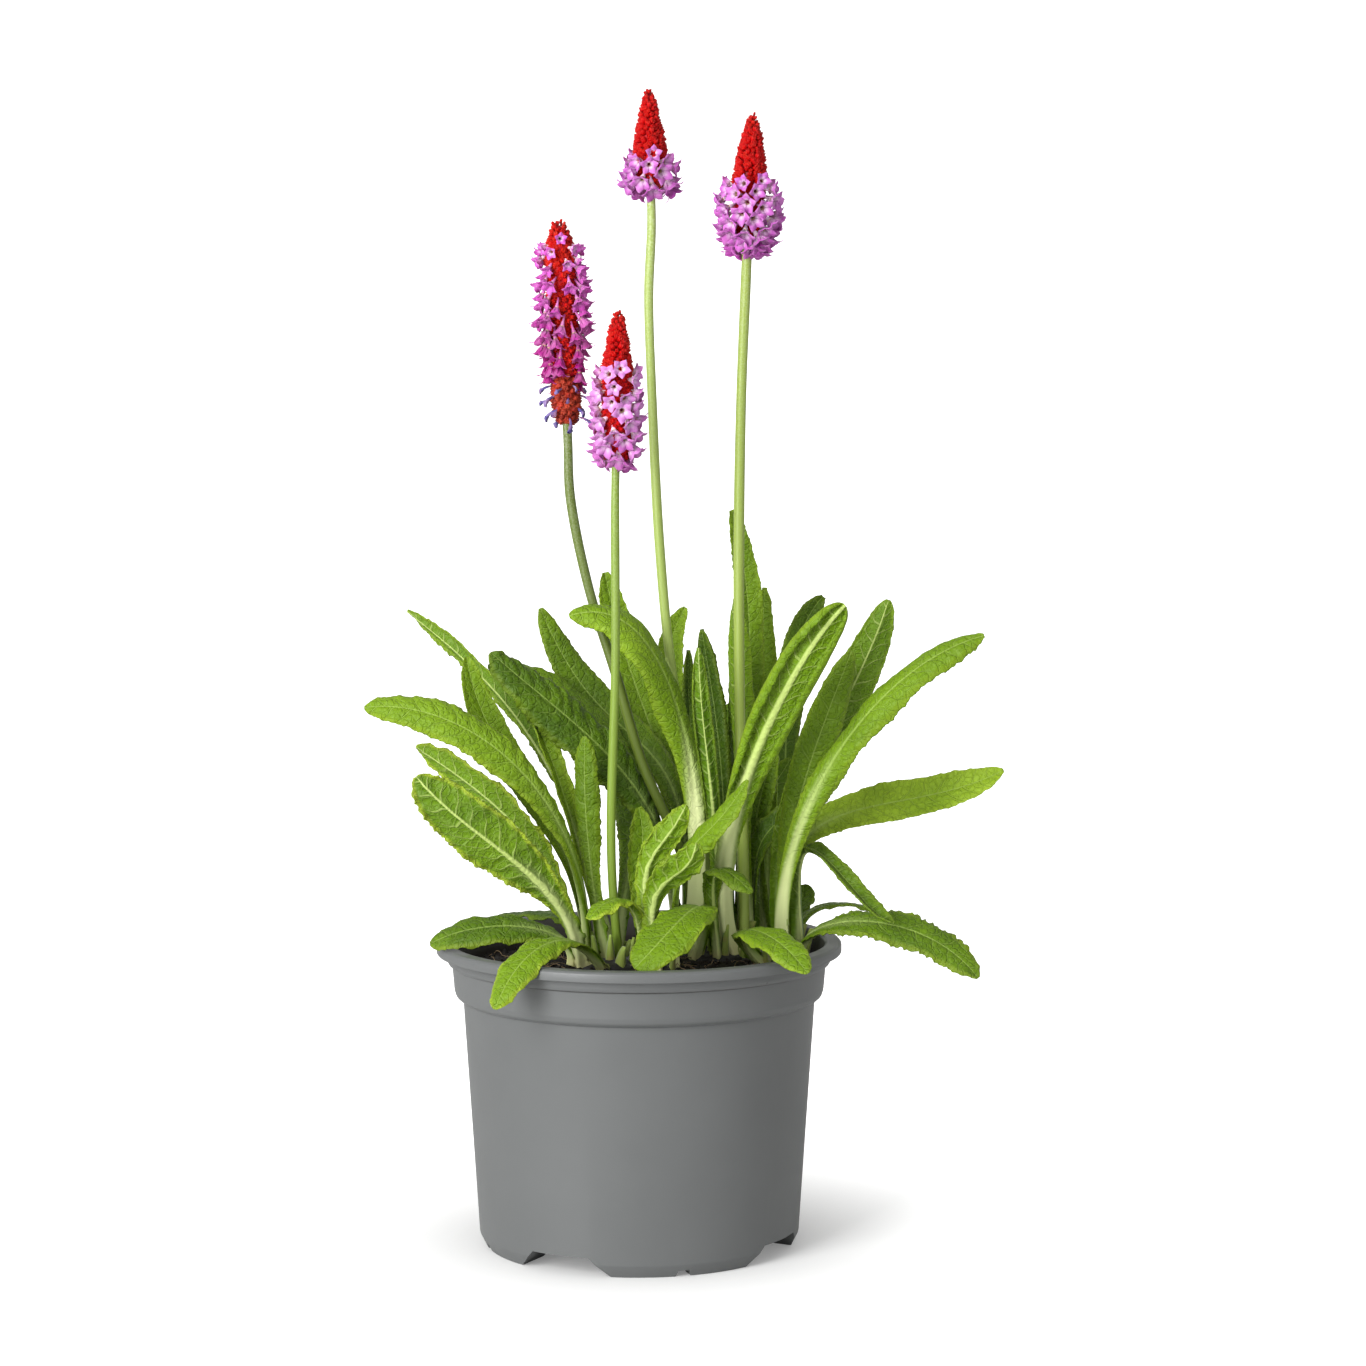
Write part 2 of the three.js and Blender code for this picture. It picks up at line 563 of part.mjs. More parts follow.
// A knobbly body about the z axis: every other point of its rings stands out as the tip of a spur
function spurredBody(low, high, radiusAt, { pitch, around, reach, lift }) {
  const rows = Math.round((high - low) / pitch);
  const isSpur = (row, column) => (row + column) % 2 === 0;
  const rings = Array.from({ length: rows + 1 }, (_, row) => {
    const height = low + ((high - low) * row) / rows;
    return Array.from({ length: around }, (_, column) => {
      const raised = isSpur(row, column) && row > 0 && row < rows;
      const radius = radiusAt(height) + (raised ? Math.min(reach, radiusAt(height)) : 0);
      const angle = (2 * Math.PI * column) / around;
      return new THREE.Vector3(radius * Math.cos(angle), radius * Math.sin(angle),
        height + (raised ? lift : 0));
    });
  });
  return solid(lofted(rings, isSpur));
}

// Everything of a body between two heights, less half the fitting gap at each cut face
function between(body, low, high) {
  const depth = high - low - FIT_GAP;
  const box = new THREE.BoxGeometry(60, 60, depth).translate(0, 0, low + FIT_GAP / 2 + depth / 2);
  return largestBody(body.intersect(solid(box)));
}

const BUD_SPURS = { pitch: 1.7, around: 10, reach: 1.1, lift: 0.5 };
const SPENT_SPURS = { pitch: 2, around: 10, reach: 2.4, lift: -1 };

function spikeParts(spike) {
  const [budStart, budRadius] = spike.buds;
  const budCone = (height) => {
    const toTip = THREE.MathUtils.clamp((spike.height - height) / (spike.height - budStart), 0.01, 1);
    return (budRadius - BUD_SPURS.reach * 0.7) * toTip ** 0.57;
  };
  const buds = spurredBody(budStart - 1, spike.height, budCone, BUD_SPURS);
  const core = turned([[0, 0], [1.9, 0], [CORE_RADIUS, 3], [CORE_RADIUS + 0.3, budStart + 1],
    [0, budStart + 1]], 6);
  const florets = wasm.Manifold.union([core, ...floretBand(spike.florets)]);
  const parts = {
    buds: between(buds, budStart, spike.height + 5),
    florets: between(florets, spike.spent ? spike.florets[0] : -20, budStart),
  };
  if (spike.spent) {
    const [low, high] = spike.spent;
    const taper = (height) => Math.min(2.2 + 0.3 * height, CORE_RADIUS);
    parts.spent = between(spurredBody(low, high + 2, taper, SPENT_SPURS), -20, high);
  }
  return parts;
}

// The spike's own frame: its foot a little below the scape's tip, its axis on with the scape
function spikePlacement(spike) {
  const curve = scapeCurve(SCAPES[spike.scape]);
  const along = curve.getTangent(1);
  const foot = curve.getPoint(1).addScaledVector(along, FIT_GAP - SOCKET_DEPTH);
  const turn = new THREE.Quaternion().setFromUnitVectors(new THREE.Vector3(0, 0, 1), along);
  return { foot, turn };
}

const PART_LOOKS = { buds: budRed, florets: floretViolet, spent: spentBrown };

function addSpike(name, spike) {
  const { foot, turn } = spikePlacement(spike);
  const socket = new THREE.CylinderGeometry(SCAPES[spike.scape].radius + FIT_GAP,
    SCAPES[spike.scape].radius + FIT_GAP, SOCKET_DEPTH + 2, 8)
    .rotateX(Math.PI / 2).translate(0, 0, SOCKET_DEPTH / 2 - 1 + 0.01);
  const bored = spike.spent ? "spent" : "florets";
  for (const [part, body] of Object.entries(spikeParts(spike))) {
    const shaped = part === bored ? largestBody(body.subtract(solid(socket))) : body;
    const mesh = addPiece(`${name}_${part}`, shaped, PART_LOOKS[part]);
    mesh.position.copy(foot);
    mesh.quaternion.copy(turn);
  }
}

// Assembly: every stalk stands in a plain hole in its crown, and each crown in one in the compost
addPiece("pot", pot(), potGrey);

const stemsByCrown = {
  left: [CROWNS.left],
  front: [CROWNS.front],
  right: [CROWNS.middle, CROWNS.right],
};
const leafHoles = Object.values(LEAVES).map((leaf) => rootHole(leaf));
const scapeHoles = Object.values(SCAPES).map((scape) => scapeBody(scape, FIT_GAP));
const holes = wasm.Manifold.union([...leafHoles, ...scapeHoles]);
const crownSeats = [];
for (const [name, stems] of Object.entries(stemsByCrown)) {
  const knob = wasm.Manifold.union(stems.map((stem) => crownStem(stem)));
  const grown = CROWN_LEAVES[name].map((leaf) => leafBody(leaf));
  crownSeats.push(...CROWN_LEAVES[name].map((leaf) => rootHole(leaf)));
  const whole = largestBody(wasm.Manifold.union([knob.subtract(holes), ...grown]));
  addPiece(`crown_${name}`, whole, paleGreen);
  crownSeats.push(...stems.map((stem) => crownStem(stem, FIT_GAP)));
}
addPiece("compost", largestBody(soil().subtract(wasm.Manifold.union([...crownSeats, holes]))), compost);

for (const [name, leaf] of Object.entries(LEAVES)) {
  addPiece(name, leafBody(leaf), leafGreen);
}
for (const [name, scape] of Object.entries(SCAPES)) {
  addPiece(name, scapeBody(scape), paleGreen);
}
for (const [name, spike] of Object.entries(SPIKES)) {
  addSpike(name, spike);
}

export default plant;
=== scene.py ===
# Potted orchid primrose: a plastic nursery pot of compost with three leafy crowns and four spikes.
# Metres, +Z up. The camera looks along +Y, from the side that the photograph shows.
import random
from functools import partial
from math import atan2, ceil, copysign, cos, exp, hypot, pi, radians, sin, sqrt

import bpy
from mathutils import Matrix, Vector, noise


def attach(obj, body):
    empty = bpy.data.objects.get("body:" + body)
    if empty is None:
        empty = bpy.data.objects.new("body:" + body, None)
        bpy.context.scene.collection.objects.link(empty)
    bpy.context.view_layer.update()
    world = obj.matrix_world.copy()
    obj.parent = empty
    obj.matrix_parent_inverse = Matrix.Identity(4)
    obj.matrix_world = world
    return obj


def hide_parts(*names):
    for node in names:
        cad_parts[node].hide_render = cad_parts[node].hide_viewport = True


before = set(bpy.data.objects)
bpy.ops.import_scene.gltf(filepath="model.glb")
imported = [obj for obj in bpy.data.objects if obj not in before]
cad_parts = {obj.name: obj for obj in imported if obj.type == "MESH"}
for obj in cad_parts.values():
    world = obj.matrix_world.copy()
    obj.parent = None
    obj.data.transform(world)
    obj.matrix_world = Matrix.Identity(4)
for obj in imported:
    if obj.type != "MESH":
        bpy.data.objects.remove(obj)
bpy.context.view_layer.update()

# Camera
# A long lens, 1.1 m in front of the pot and level with the upper leaves, tipped down by 4.8 degrees
# so that a narrow strip of compost shows over the pot's rim.
LENS = 91.9
CAMERA_PLACE = (-0.0022, -1.118, 0.2745)
CAMERA_TIP = 4.83


def new_object(name, data):
    """An object made of this data, in the scene."""
    item = bpy.data.objects.new(name, data)
    bpy.context.scene.collection.objects.link(item)
    return item


camera = new_object("camera", bpy.data.cameras.new("camera"))
camera.data.lens = LENS
camera.location = CAMERA_PLACE
camera.rotation_euler = (radians(90 - CAMERA_TIP), 0, 0)
bpy.context.scene.camera = camera

# Pot
# A 13 cm nursery pot, injection moulded in grey polypropylene: a thin tapered cup with a collar, a
# rolled rim to lift it by, and four feet with drain channels between them.
POT_AXIS = (-0.0163, -0.008)
POT_PROFILE = [(0, 6), (35.5, 6), (37.5, 0), (49.5, 0), (51.5, 4), (56.5, 79.7), (57.7, 80), (58.8, 81),
               (59.3, 82.6), (60, 90.8), (61.1, 91.1), (61.7, 92.2), (61.9, 94.3), (65, 94.6), (65, 97.3),
               (64.2, 98), (60.4, 98), (59.6, 97.2), (58.6, 90), (58.1, 82.6), (55.3, 78.6), (49.8, 7.6),
               (0, 7.6)]
POT_TURNS = 144
PROFILE_ROUNDING = 0.0003
FOOT_MIDDLE = 16.65
# Widths of a cut at the ground and at its top, and its height, in mm
DRAIN_CHANNEL = (34, 20, 6)
FOOT_NOTCH = (5.6, 3.6, 2)
POT_GREY = "#5c5e5e"
POT_GREY_LIGHT = "#656767"
# Dark brown for compost specks on the rim, and for painted shade inside the wall over the compost
POT_DUST_AND_INNER_SHADE = "#2c241c"
# Words for the shader nodes that are used most, and the property that a node's second word sets
MIX, SMOOTH, LINEAR = "Mix RGBA", "MapRange SMOOTHSTEP", "MapRange"
TIMES, PLUS, MINUS, LARGER = "Math MULTIPLY", "Math ADD", "Math SUBTRACT", "Math MAXIMUM"
TIMES_PLUS, OVER = "Math MULTIPLY_ADD", "Math DIVIDE"
NODE_MODES = {"Math": "operation", "VectorMath": "operation", "MapRange": "interpolation_type",
              "Mix": "data_type", "TexVoronoi": "feature"}


def linear(hex_colour):
    """A colour of the sRGB hex notation as Blender's linear red, green, blue and alpha."""
    parts = [int(hex_colour[i:i + 2], 16) / 255 for i in (1, 3, 5)]
    return [p / 12.92 if p <= 0.04045 else ((p + 0.055) / 1.055) ** 2.4 for p in parts] + [1]


def add_node(tree, kind, *values, **settings):
    """Adds a shader node, such as "Math ADD". Values, hex colours and sockets go to its open inputs in
    order, or from a last dict by name. Gives the node's first open output."""
    kind, *mode = kind.split()
    made = tree.nodes.new("ShaderNode" + kind)
    if mode:
        settings[NODE_MODES[kind]] = mode[0]
    for setting, value in settings.items():
        setattr(made, setting, value)
    named = values[-1] if values and isinstance(values[-1], dict) else {}
    pairs = list(zip([socket for socket in made.inputs if socket.enabled], values[:-1] if named else values))
    for socket, value in pairs + [(made.inputs[name], value) for name, value in named.items()]:
        if isinstance(value, bpy.types.NodeSocket):
            tree.links.new(value, socket)
        else:
            socket.default_value = linear(value) if isinstance(value, str) else value
    return next((socket for socket in made.outputs if socket.enabled), None)


def new_material(name):
    """An empty material, the function that adds a node to it, and the places of its points."""
    material = bpy.data.materials.new(name)
    material.use_nodes = True
    material.node_tree.nodes.clear()
    node = partial(add_node, material.node_tree)
    return material, node, node("TexCoord").node.outputs["Object"]


def surface(node, relief, strength, depth, looks):
    """Ends a material: its relief, the strength and depth (m) of that, and its other looks by name."""
    bump = node("Bump", {"Height": relief, "Strength": strength, "Distance": depth})
    node("OutputMaterial", node("BsdfPrincipled", {**looks, "Normal": bump}))


def only(*objects):
    """Selects these objects and nothing else, the first one active."""
    bpy.ops.object.select_all(action="DESELECT")
    for item in objects:
        item.select_set(True)
    bpy.context.view_layer.objects.active = objects[0]


def start(name, primitive, **settings):
    """A new primitive under a name, with nothing else selected."""
    bpy.ops.object.select_all(action="DESELECT")
    primitive(**settings)
    bpy.context.object.name = name
    return bpy.context.object


def joined(*pieces):
    """Joins pieces into the first of them."""
    only(*pieces)
    bpy.ops.object.join()
    return pieces[0]


def modified(piece, kind, **settings):
    """Gives a piece a modifier and applies it."""
    modifier = piece.modifiers.new(kind.lower(), kind)
    for setting, value in settings.items():
        setattr(modifier, setting, value)
    only(piece)
    bpy.ops.object.modifier_apply(modifier=modifier.name)


def turned(name, profile, turns, rounding=0.0):
    """A piece spun about the pot's axis from a chain of (radius, height) points in mm."""
    piece = start(name, bpy.ops.mesh.primitive_plane_add, size=0.01)
    bpy.ops.object.mode_set(mode="EDIT")
    bpy.ops.mesh.select_all(action="SELECT")
    bpy.ops.mesh.merge(type="CENTER")
    last = (0, 0)
    for radius, height in profile:
        step = ((radius - last[0]) / 1000, 0, (height - last[1]) / 1000)
        if last == (0, 0):
            bpy.ops.transform.translate(value=(step[0] + POT_AXIS[0], POT_AXIS[1], step[2]))
        else:
            bpy.ops.mesh.extrude_region_move(TRANSFORM_OT_translate={"value": step})
        last = (radius, height)
    bpy.ops.mesh.select_all(action="SELECT")
    if rounding:
        bpy.ops.mesh.bevel(offset=rounding, segments=3, affect="VERTICES")
        bpy.ops.mesh.select_all(action="SELECT")
    bpy.ops.mesh.spin(steps=turns, angle=2 * pi, center=(*POT_AXIS, 0), axis=(0, 0, 1))
    bpy.ops.mesh.select_all(action="SELECT")
    bpy.ops.mesh.remove_doubles(threshold=0.00001)
    bpy.ops.mesh.normals_make_consistent(inside=False)
    bpy.ops.object.mode_set(mode="OBJECT")
    return piece


def wedge_cutter(angle, low_width, high_width, high):
    """A bar that runs out from the pot's axis: its width at 1 mm below the ground, and at its top."""
    cutter = start("cutter", bpy.ops.mesh.primitive_cube_add, size=1, location=(*POT_AXIS, 0))
    for vertex in cutter.data.vertices:
        width, level = (high_width, high) if vertex.co.z > 0 else (low_width, -1)
        vertex.co = (0.001 + (vertex.co.x + 0.5) * 0.07, vertex.co.y * width / 1000, level / 1000)
    cutter.rotation_euler.z = angle
    bpy.ops.object.transform_apply(location=True, rotation=True, scale=True)
    return cutter


pot_wall = turned("pot_wall", POT_PROFILE, POT_TURNS, PROFILE_ROUNDING)
cutters = []
for quarter in range(4):
    middle = radians(FOOT_MIDDLE - 90 + 90 * quarter)
    cutters.append(wedge_cutter(middle + radians(45), *DRAIN_CHANNEL))
    cutters.append(wedge_cutter(middle, *FOOT_NOTCH))
foot_cutter = joined(*cutters)
modified(pot_wall, "BOOLEAN", object=foot_cutter, solver="EXACT", use_self=True)
bpy.data.objects.remove(foot_cutter)
only(pot_wall)
bpy.ops.object.shade_smooth_by_angle(angle=radians(32))


def moulded_polypropylene():
    """Grey polypropylene from a mould: an even satin with a faint orange-peel ripple that softens its
    reflections, slightly cloudy, with specks of compost on the rim and painted shade inside the wall over the
    compost."""
    material, node, place = new_material("moulded_polypropylene")
    height = node("SeparateXYZ", place).node.outputs["Z"]
    grey = node(MIX, node("TexNoise", place, 28, 3), POT_GREY, POT_GREY_LIGHT)
    # Specks of 0.6 to 1 mm, only near the rim, where compost was spilt and wiped
    speck = node(LINEAR, node("TexVoronoi", place, 260), 0.09, 0.13, 1, 0)
    patch = node(LINEAR, node("TexNoise", place, 95, 1), 0.58, 0.66)
    near_rim = node(LINEAR, height, 0.086, 0.094)
    colour = node(MIX, node(TIMES, node(TIMES, speck, patch), near_rim), grey, POT_DUST_AND_INNER_SHADE)
    # Painted shade: the inside of the wall over the compost is darkened, where shade falls in the pot
    off_axis = node("VectorMath SUBTRACT", place, (*POT_AXIS, 0))
    facing = node("VectorMath DOT_PRODUCT", off_axis, node("NewGeometry").node.outputs["Normal"])
    inner = node(LINEAR, facing, -0.05, -0.02, 0.9, 0)
    painted_inner_shade = node(TIMES, inner, node(LINEAR, height, 0.084, 0.086))
    colour = node(MIX, painted_inner_shade, colour, POT_DUST_AND_INNER_SHADE)
    surface(node, node("TexNoise", place, 420, 2), 0.25, 0.00008, {
        "Base Color": colour, "Roughness": 0.42, "IOR": 1.49, "Specular IOR Level": 0.5})
    return material


pot_wall.data.materials.append(moulded_polypropylene())
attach(pot_wall, "root")
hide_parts("pot")

# Compost
# A firmed plug of dark peat, domed under the crowns. Its top is crumbly, with loose lumps and a
# scatter of pale fibres and fine roots that catch the light.
SOIL_RADIUS = 57.9
SOIL_EDGE = 88
SOIL_DOME = 4.5
SOIL_ROWS = 52
SOIL_TURNS = 170
SOIL_SIDE = [(0, 7.9), (49.5, 7.9), (54.8, 78), (57.4, 83)]
SOIL_TOP_FROM = 0.0875
CRUMBS = 1500
FIBRES = 130
PEAT_DARK = "#0d0906"
PEAT_BROWN = "#2a1e14"
FIBRE_TAN = "#7d6a50"


def soil_height(radius):
    """The level of the compost at a distance from the pot's axis, both in mm."""
    share = min(radius / SOIL_RADIUS, 1)
    return SOIL_EDGE + SOIL_DOME * (1 - share * share)


def soil_lumps(x, y):
    """How far the lumps of the surface stand over or under its level, in mm."""
    edge = min(1, max(0, (SOIL_RADIUS - hypot(x, y)) / 5))
    coarse = noise.fractal(Vector((x / 14, y / 14, 3.1)), 0.9, 2.1, 3)
    fine = noise.fractal(Vector((x / 3.2, y / 3.2, 8.7)), 0.8, 2.2, 3)
    return edge * (1.3 * coarse + 0.75 * fine)


def in_place(x, y, z):
    """A point given in mm from the foot of the pot's axis, as a place in the scene."""
    return Vector((x / 1000 + POT_AXIS[0], y / 1000 + POT_AXIS[1], z / 1000))


def mark(piece, name, values):
    """Stores a vector for each vertex of the piece, for its material to read."""
    layer = piece.data.attributes.new(name, "FLOAT_VECTOR", "POINT")
    layer.data.foreach_set("vector", [part for value in values for part in value])


def read_mark(node, name):
    """The three numbers that mark() stored under a name, as sockets of a material."""
    stored = node("Attribute", attribute_name=name).node.outputs["Vector"]
    return node("SeparateXYZ", stored).node.outputs


def copies(name, model, placings, material=None):
    """One piece of many copies of a model, each with its own mesh and placed by its matrix. Where a
    copy has three numbers for its material, its points carry them and, in mm, their distance from the
    model's axis and their height, with their direction."""
    made = []
    local = [(hypot(v.co.x, v.co.y) * 1000, v.co.z * 1000, atan2(v.co.y, v.co.x))
             for v in model.data.vertices]
    for matrix, own in placings:
        twin = new_object(name, model.data.copy())
        if own:
            mark(twin, "local", local)
            mark(twin, "own", [own] * len(local))
        twin.data.transform(matrix)
        made.append(twin)
    joined(*made).name = name
    if material:
        made[0].data.materials.append(material)
    bpy.data.objects.remove(model)
    return made[0]


soil_rows = [SOIL_RADIUS * (1 - i / SOIL_ROWS) for i in range(SOIL_ROWS + 1)]
soil_rows = [(radius, soil_height(radius)) for radius in soil_rows]
soil_top = turned("soil_top", [*SOIL_SIDE, *soil_rows], SOIL_TURNS)
for vertex in soil_top.data.vertices:
    if vertex.co.z > SOIL_TOP_FROM:
        x, y = (vertex.co.x - POT_AXIS[0]) * 1000, (vertex.co.y - POT_AXIS[1]) * 1000
        vertex.co.z += soil_lumps(x, y) / 1000
dice = random.Random(7)
crumb = start("crumb", bpy.ops.mesh.primitive_ico_sphere_add, subdivisions=1, radius=1)
for vertex in crumb.data.vertices:
    vertex.co *= 1 + 0.35 * noise.noise(vertex.co * 2.3)
crumb_places = []
for i in range(CRUMBS):
    radius = SOIL_RADIUS * 0.985 * sqrt(dice.random())
    turn = dice.random() * 2 * pi
    x, y = radius * cos(turn), radius * sin(turn)
    size = 0.35 + 1.3 * dice.random() ** 3
    spin = Matrix.Rotation(dice.random() * 6.3, 4, (dice.random(), dice.random(), dice.random() + 0.1))
    shape = Matrix.Diagonal((size / 1000, size * 0.75 / 1000, size * 0.55 / 1000, 1))
    z = soil_height(radius) + soil_lumps(x, y) + size * 0.15
    crumb_places.append((Matrix.Translation(in_place(x, y, z)) @ spin @ shape, None))
crumbs = copies("soil_crumbs", crumb, crumb_places)


def thread(points, thickness):
    """A fine round thread through points in the scene, as a mesh."""
    curve = bpy.data.curves.new("thread", "CURVE")
    curve.dimensions = "3D"
    curve.bevel_depth = thickness / 2000
    curve.bevel_resolution = 0
    curve.use_fill_caps = True
    line = curve.splines.new("POLY")
    line.points.add(len(points) - 1)
    for point, place in zip(line.points, points):
        point.co = (*place, 1)
    only(new_object("thread", curve))
    bpy.ops.object.convert(target="MESH")
    return bpy.context.object


fibres = []
for i in range(FIBRES):
    radius = SOIL_RADIUS * 0.95 * sqrt(dice.random())
    turn = dice.random() * 2 * pi
    heading = dice.random() * 2 * pi
    x, y = radius * cos(turn), radius * sin(turn)
    points = []
    bend = dice.uniform(-0.5, 0.5)
    for step in range(8):
        lift = 0.5 + 1.2 * sin(pi * step / 7) * dice.random()
        points.append(in_place(x, y, soil_height(hypot(x, y)) + soil_lumps(x, y) + lift))
        heading += bend * 0.5 + dice.uniform(-0.25, 0.25)
        x, y = x + 1.2 * cos(heading), y + 1.2 * sin(heading)
        if hypot(x, y) > SOIL_RADIUS - 1.5:
            break
    if len(points) > 2:
        fibres.append(thread(points, dice.uniform(0.16, 0.34)))
soil_fibres = joined(*fibres)
mark(soil_top, "grain", [(0, 0, 0)] * len(soil_top.data.vertices))
mark(crumbs, "grain", [(1, noise.cell(v.co * 900), 0) for v in crumbs.data.vertices])
mark(soil_fibres, "grain", [(0, 0, 1)] * len(soil_fibres.data.vertices))
compost_plug = joined(soil_top, crumbs, soil_fibres)
compost_plug.name = "compost_plug"
only(compost_plug)
bpy.ops.object.shade_smooth_by_angle(angle=radians(50))


def moist_peat():
    """Moist milled peat: nearly black in the hollows, brown where the crumbs have dried, with paler
    fibres. The damp gives the lumps a slight sheen."""
    material, node, place = new_material("moist_peat")
    _, loose, fibre = read_mark(node, "grain")
    coarse = node("TexNoise", place, 210, 5, 0.65)
    dried = node(PLUS, node(LINEAR, coarse, 0.42, 0.75), node(TIMES, loose, 0.45), use_clamp=True)
    peat = node(MIX, dried, PEAT_DARK, PEAT_BROWN)
    surface(node, node("TexNoise", place, 900, 4), 0.9, 0.0005, {
        "Base Color": node(MIX, fibre, peat, FIBRE_TAN), "IOR": 1.4,
        "Roughness": node(LINEAR, coarse, 0.3, 0.7, 0.6, 0.95)})
    return material


compost_plug.data.materials.clear()
compost_plug.data.materials.append(moist_peat())
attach(compost_plug, "root")
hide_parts("compost")

# Leaves
# Forty-two long leaves on pale stalks and four young ones behind them, soft, thin and puckered between
# their side veins, with finely toothed margins that roll back. Each grows out of its crown.
CROWNS = {"left": (-9.5, -13), "front": (6, -23), "middle": (23, 8), "right": (42, 8)}
CROWN_RISE = 3.5
ROOT_SINK = 3.5
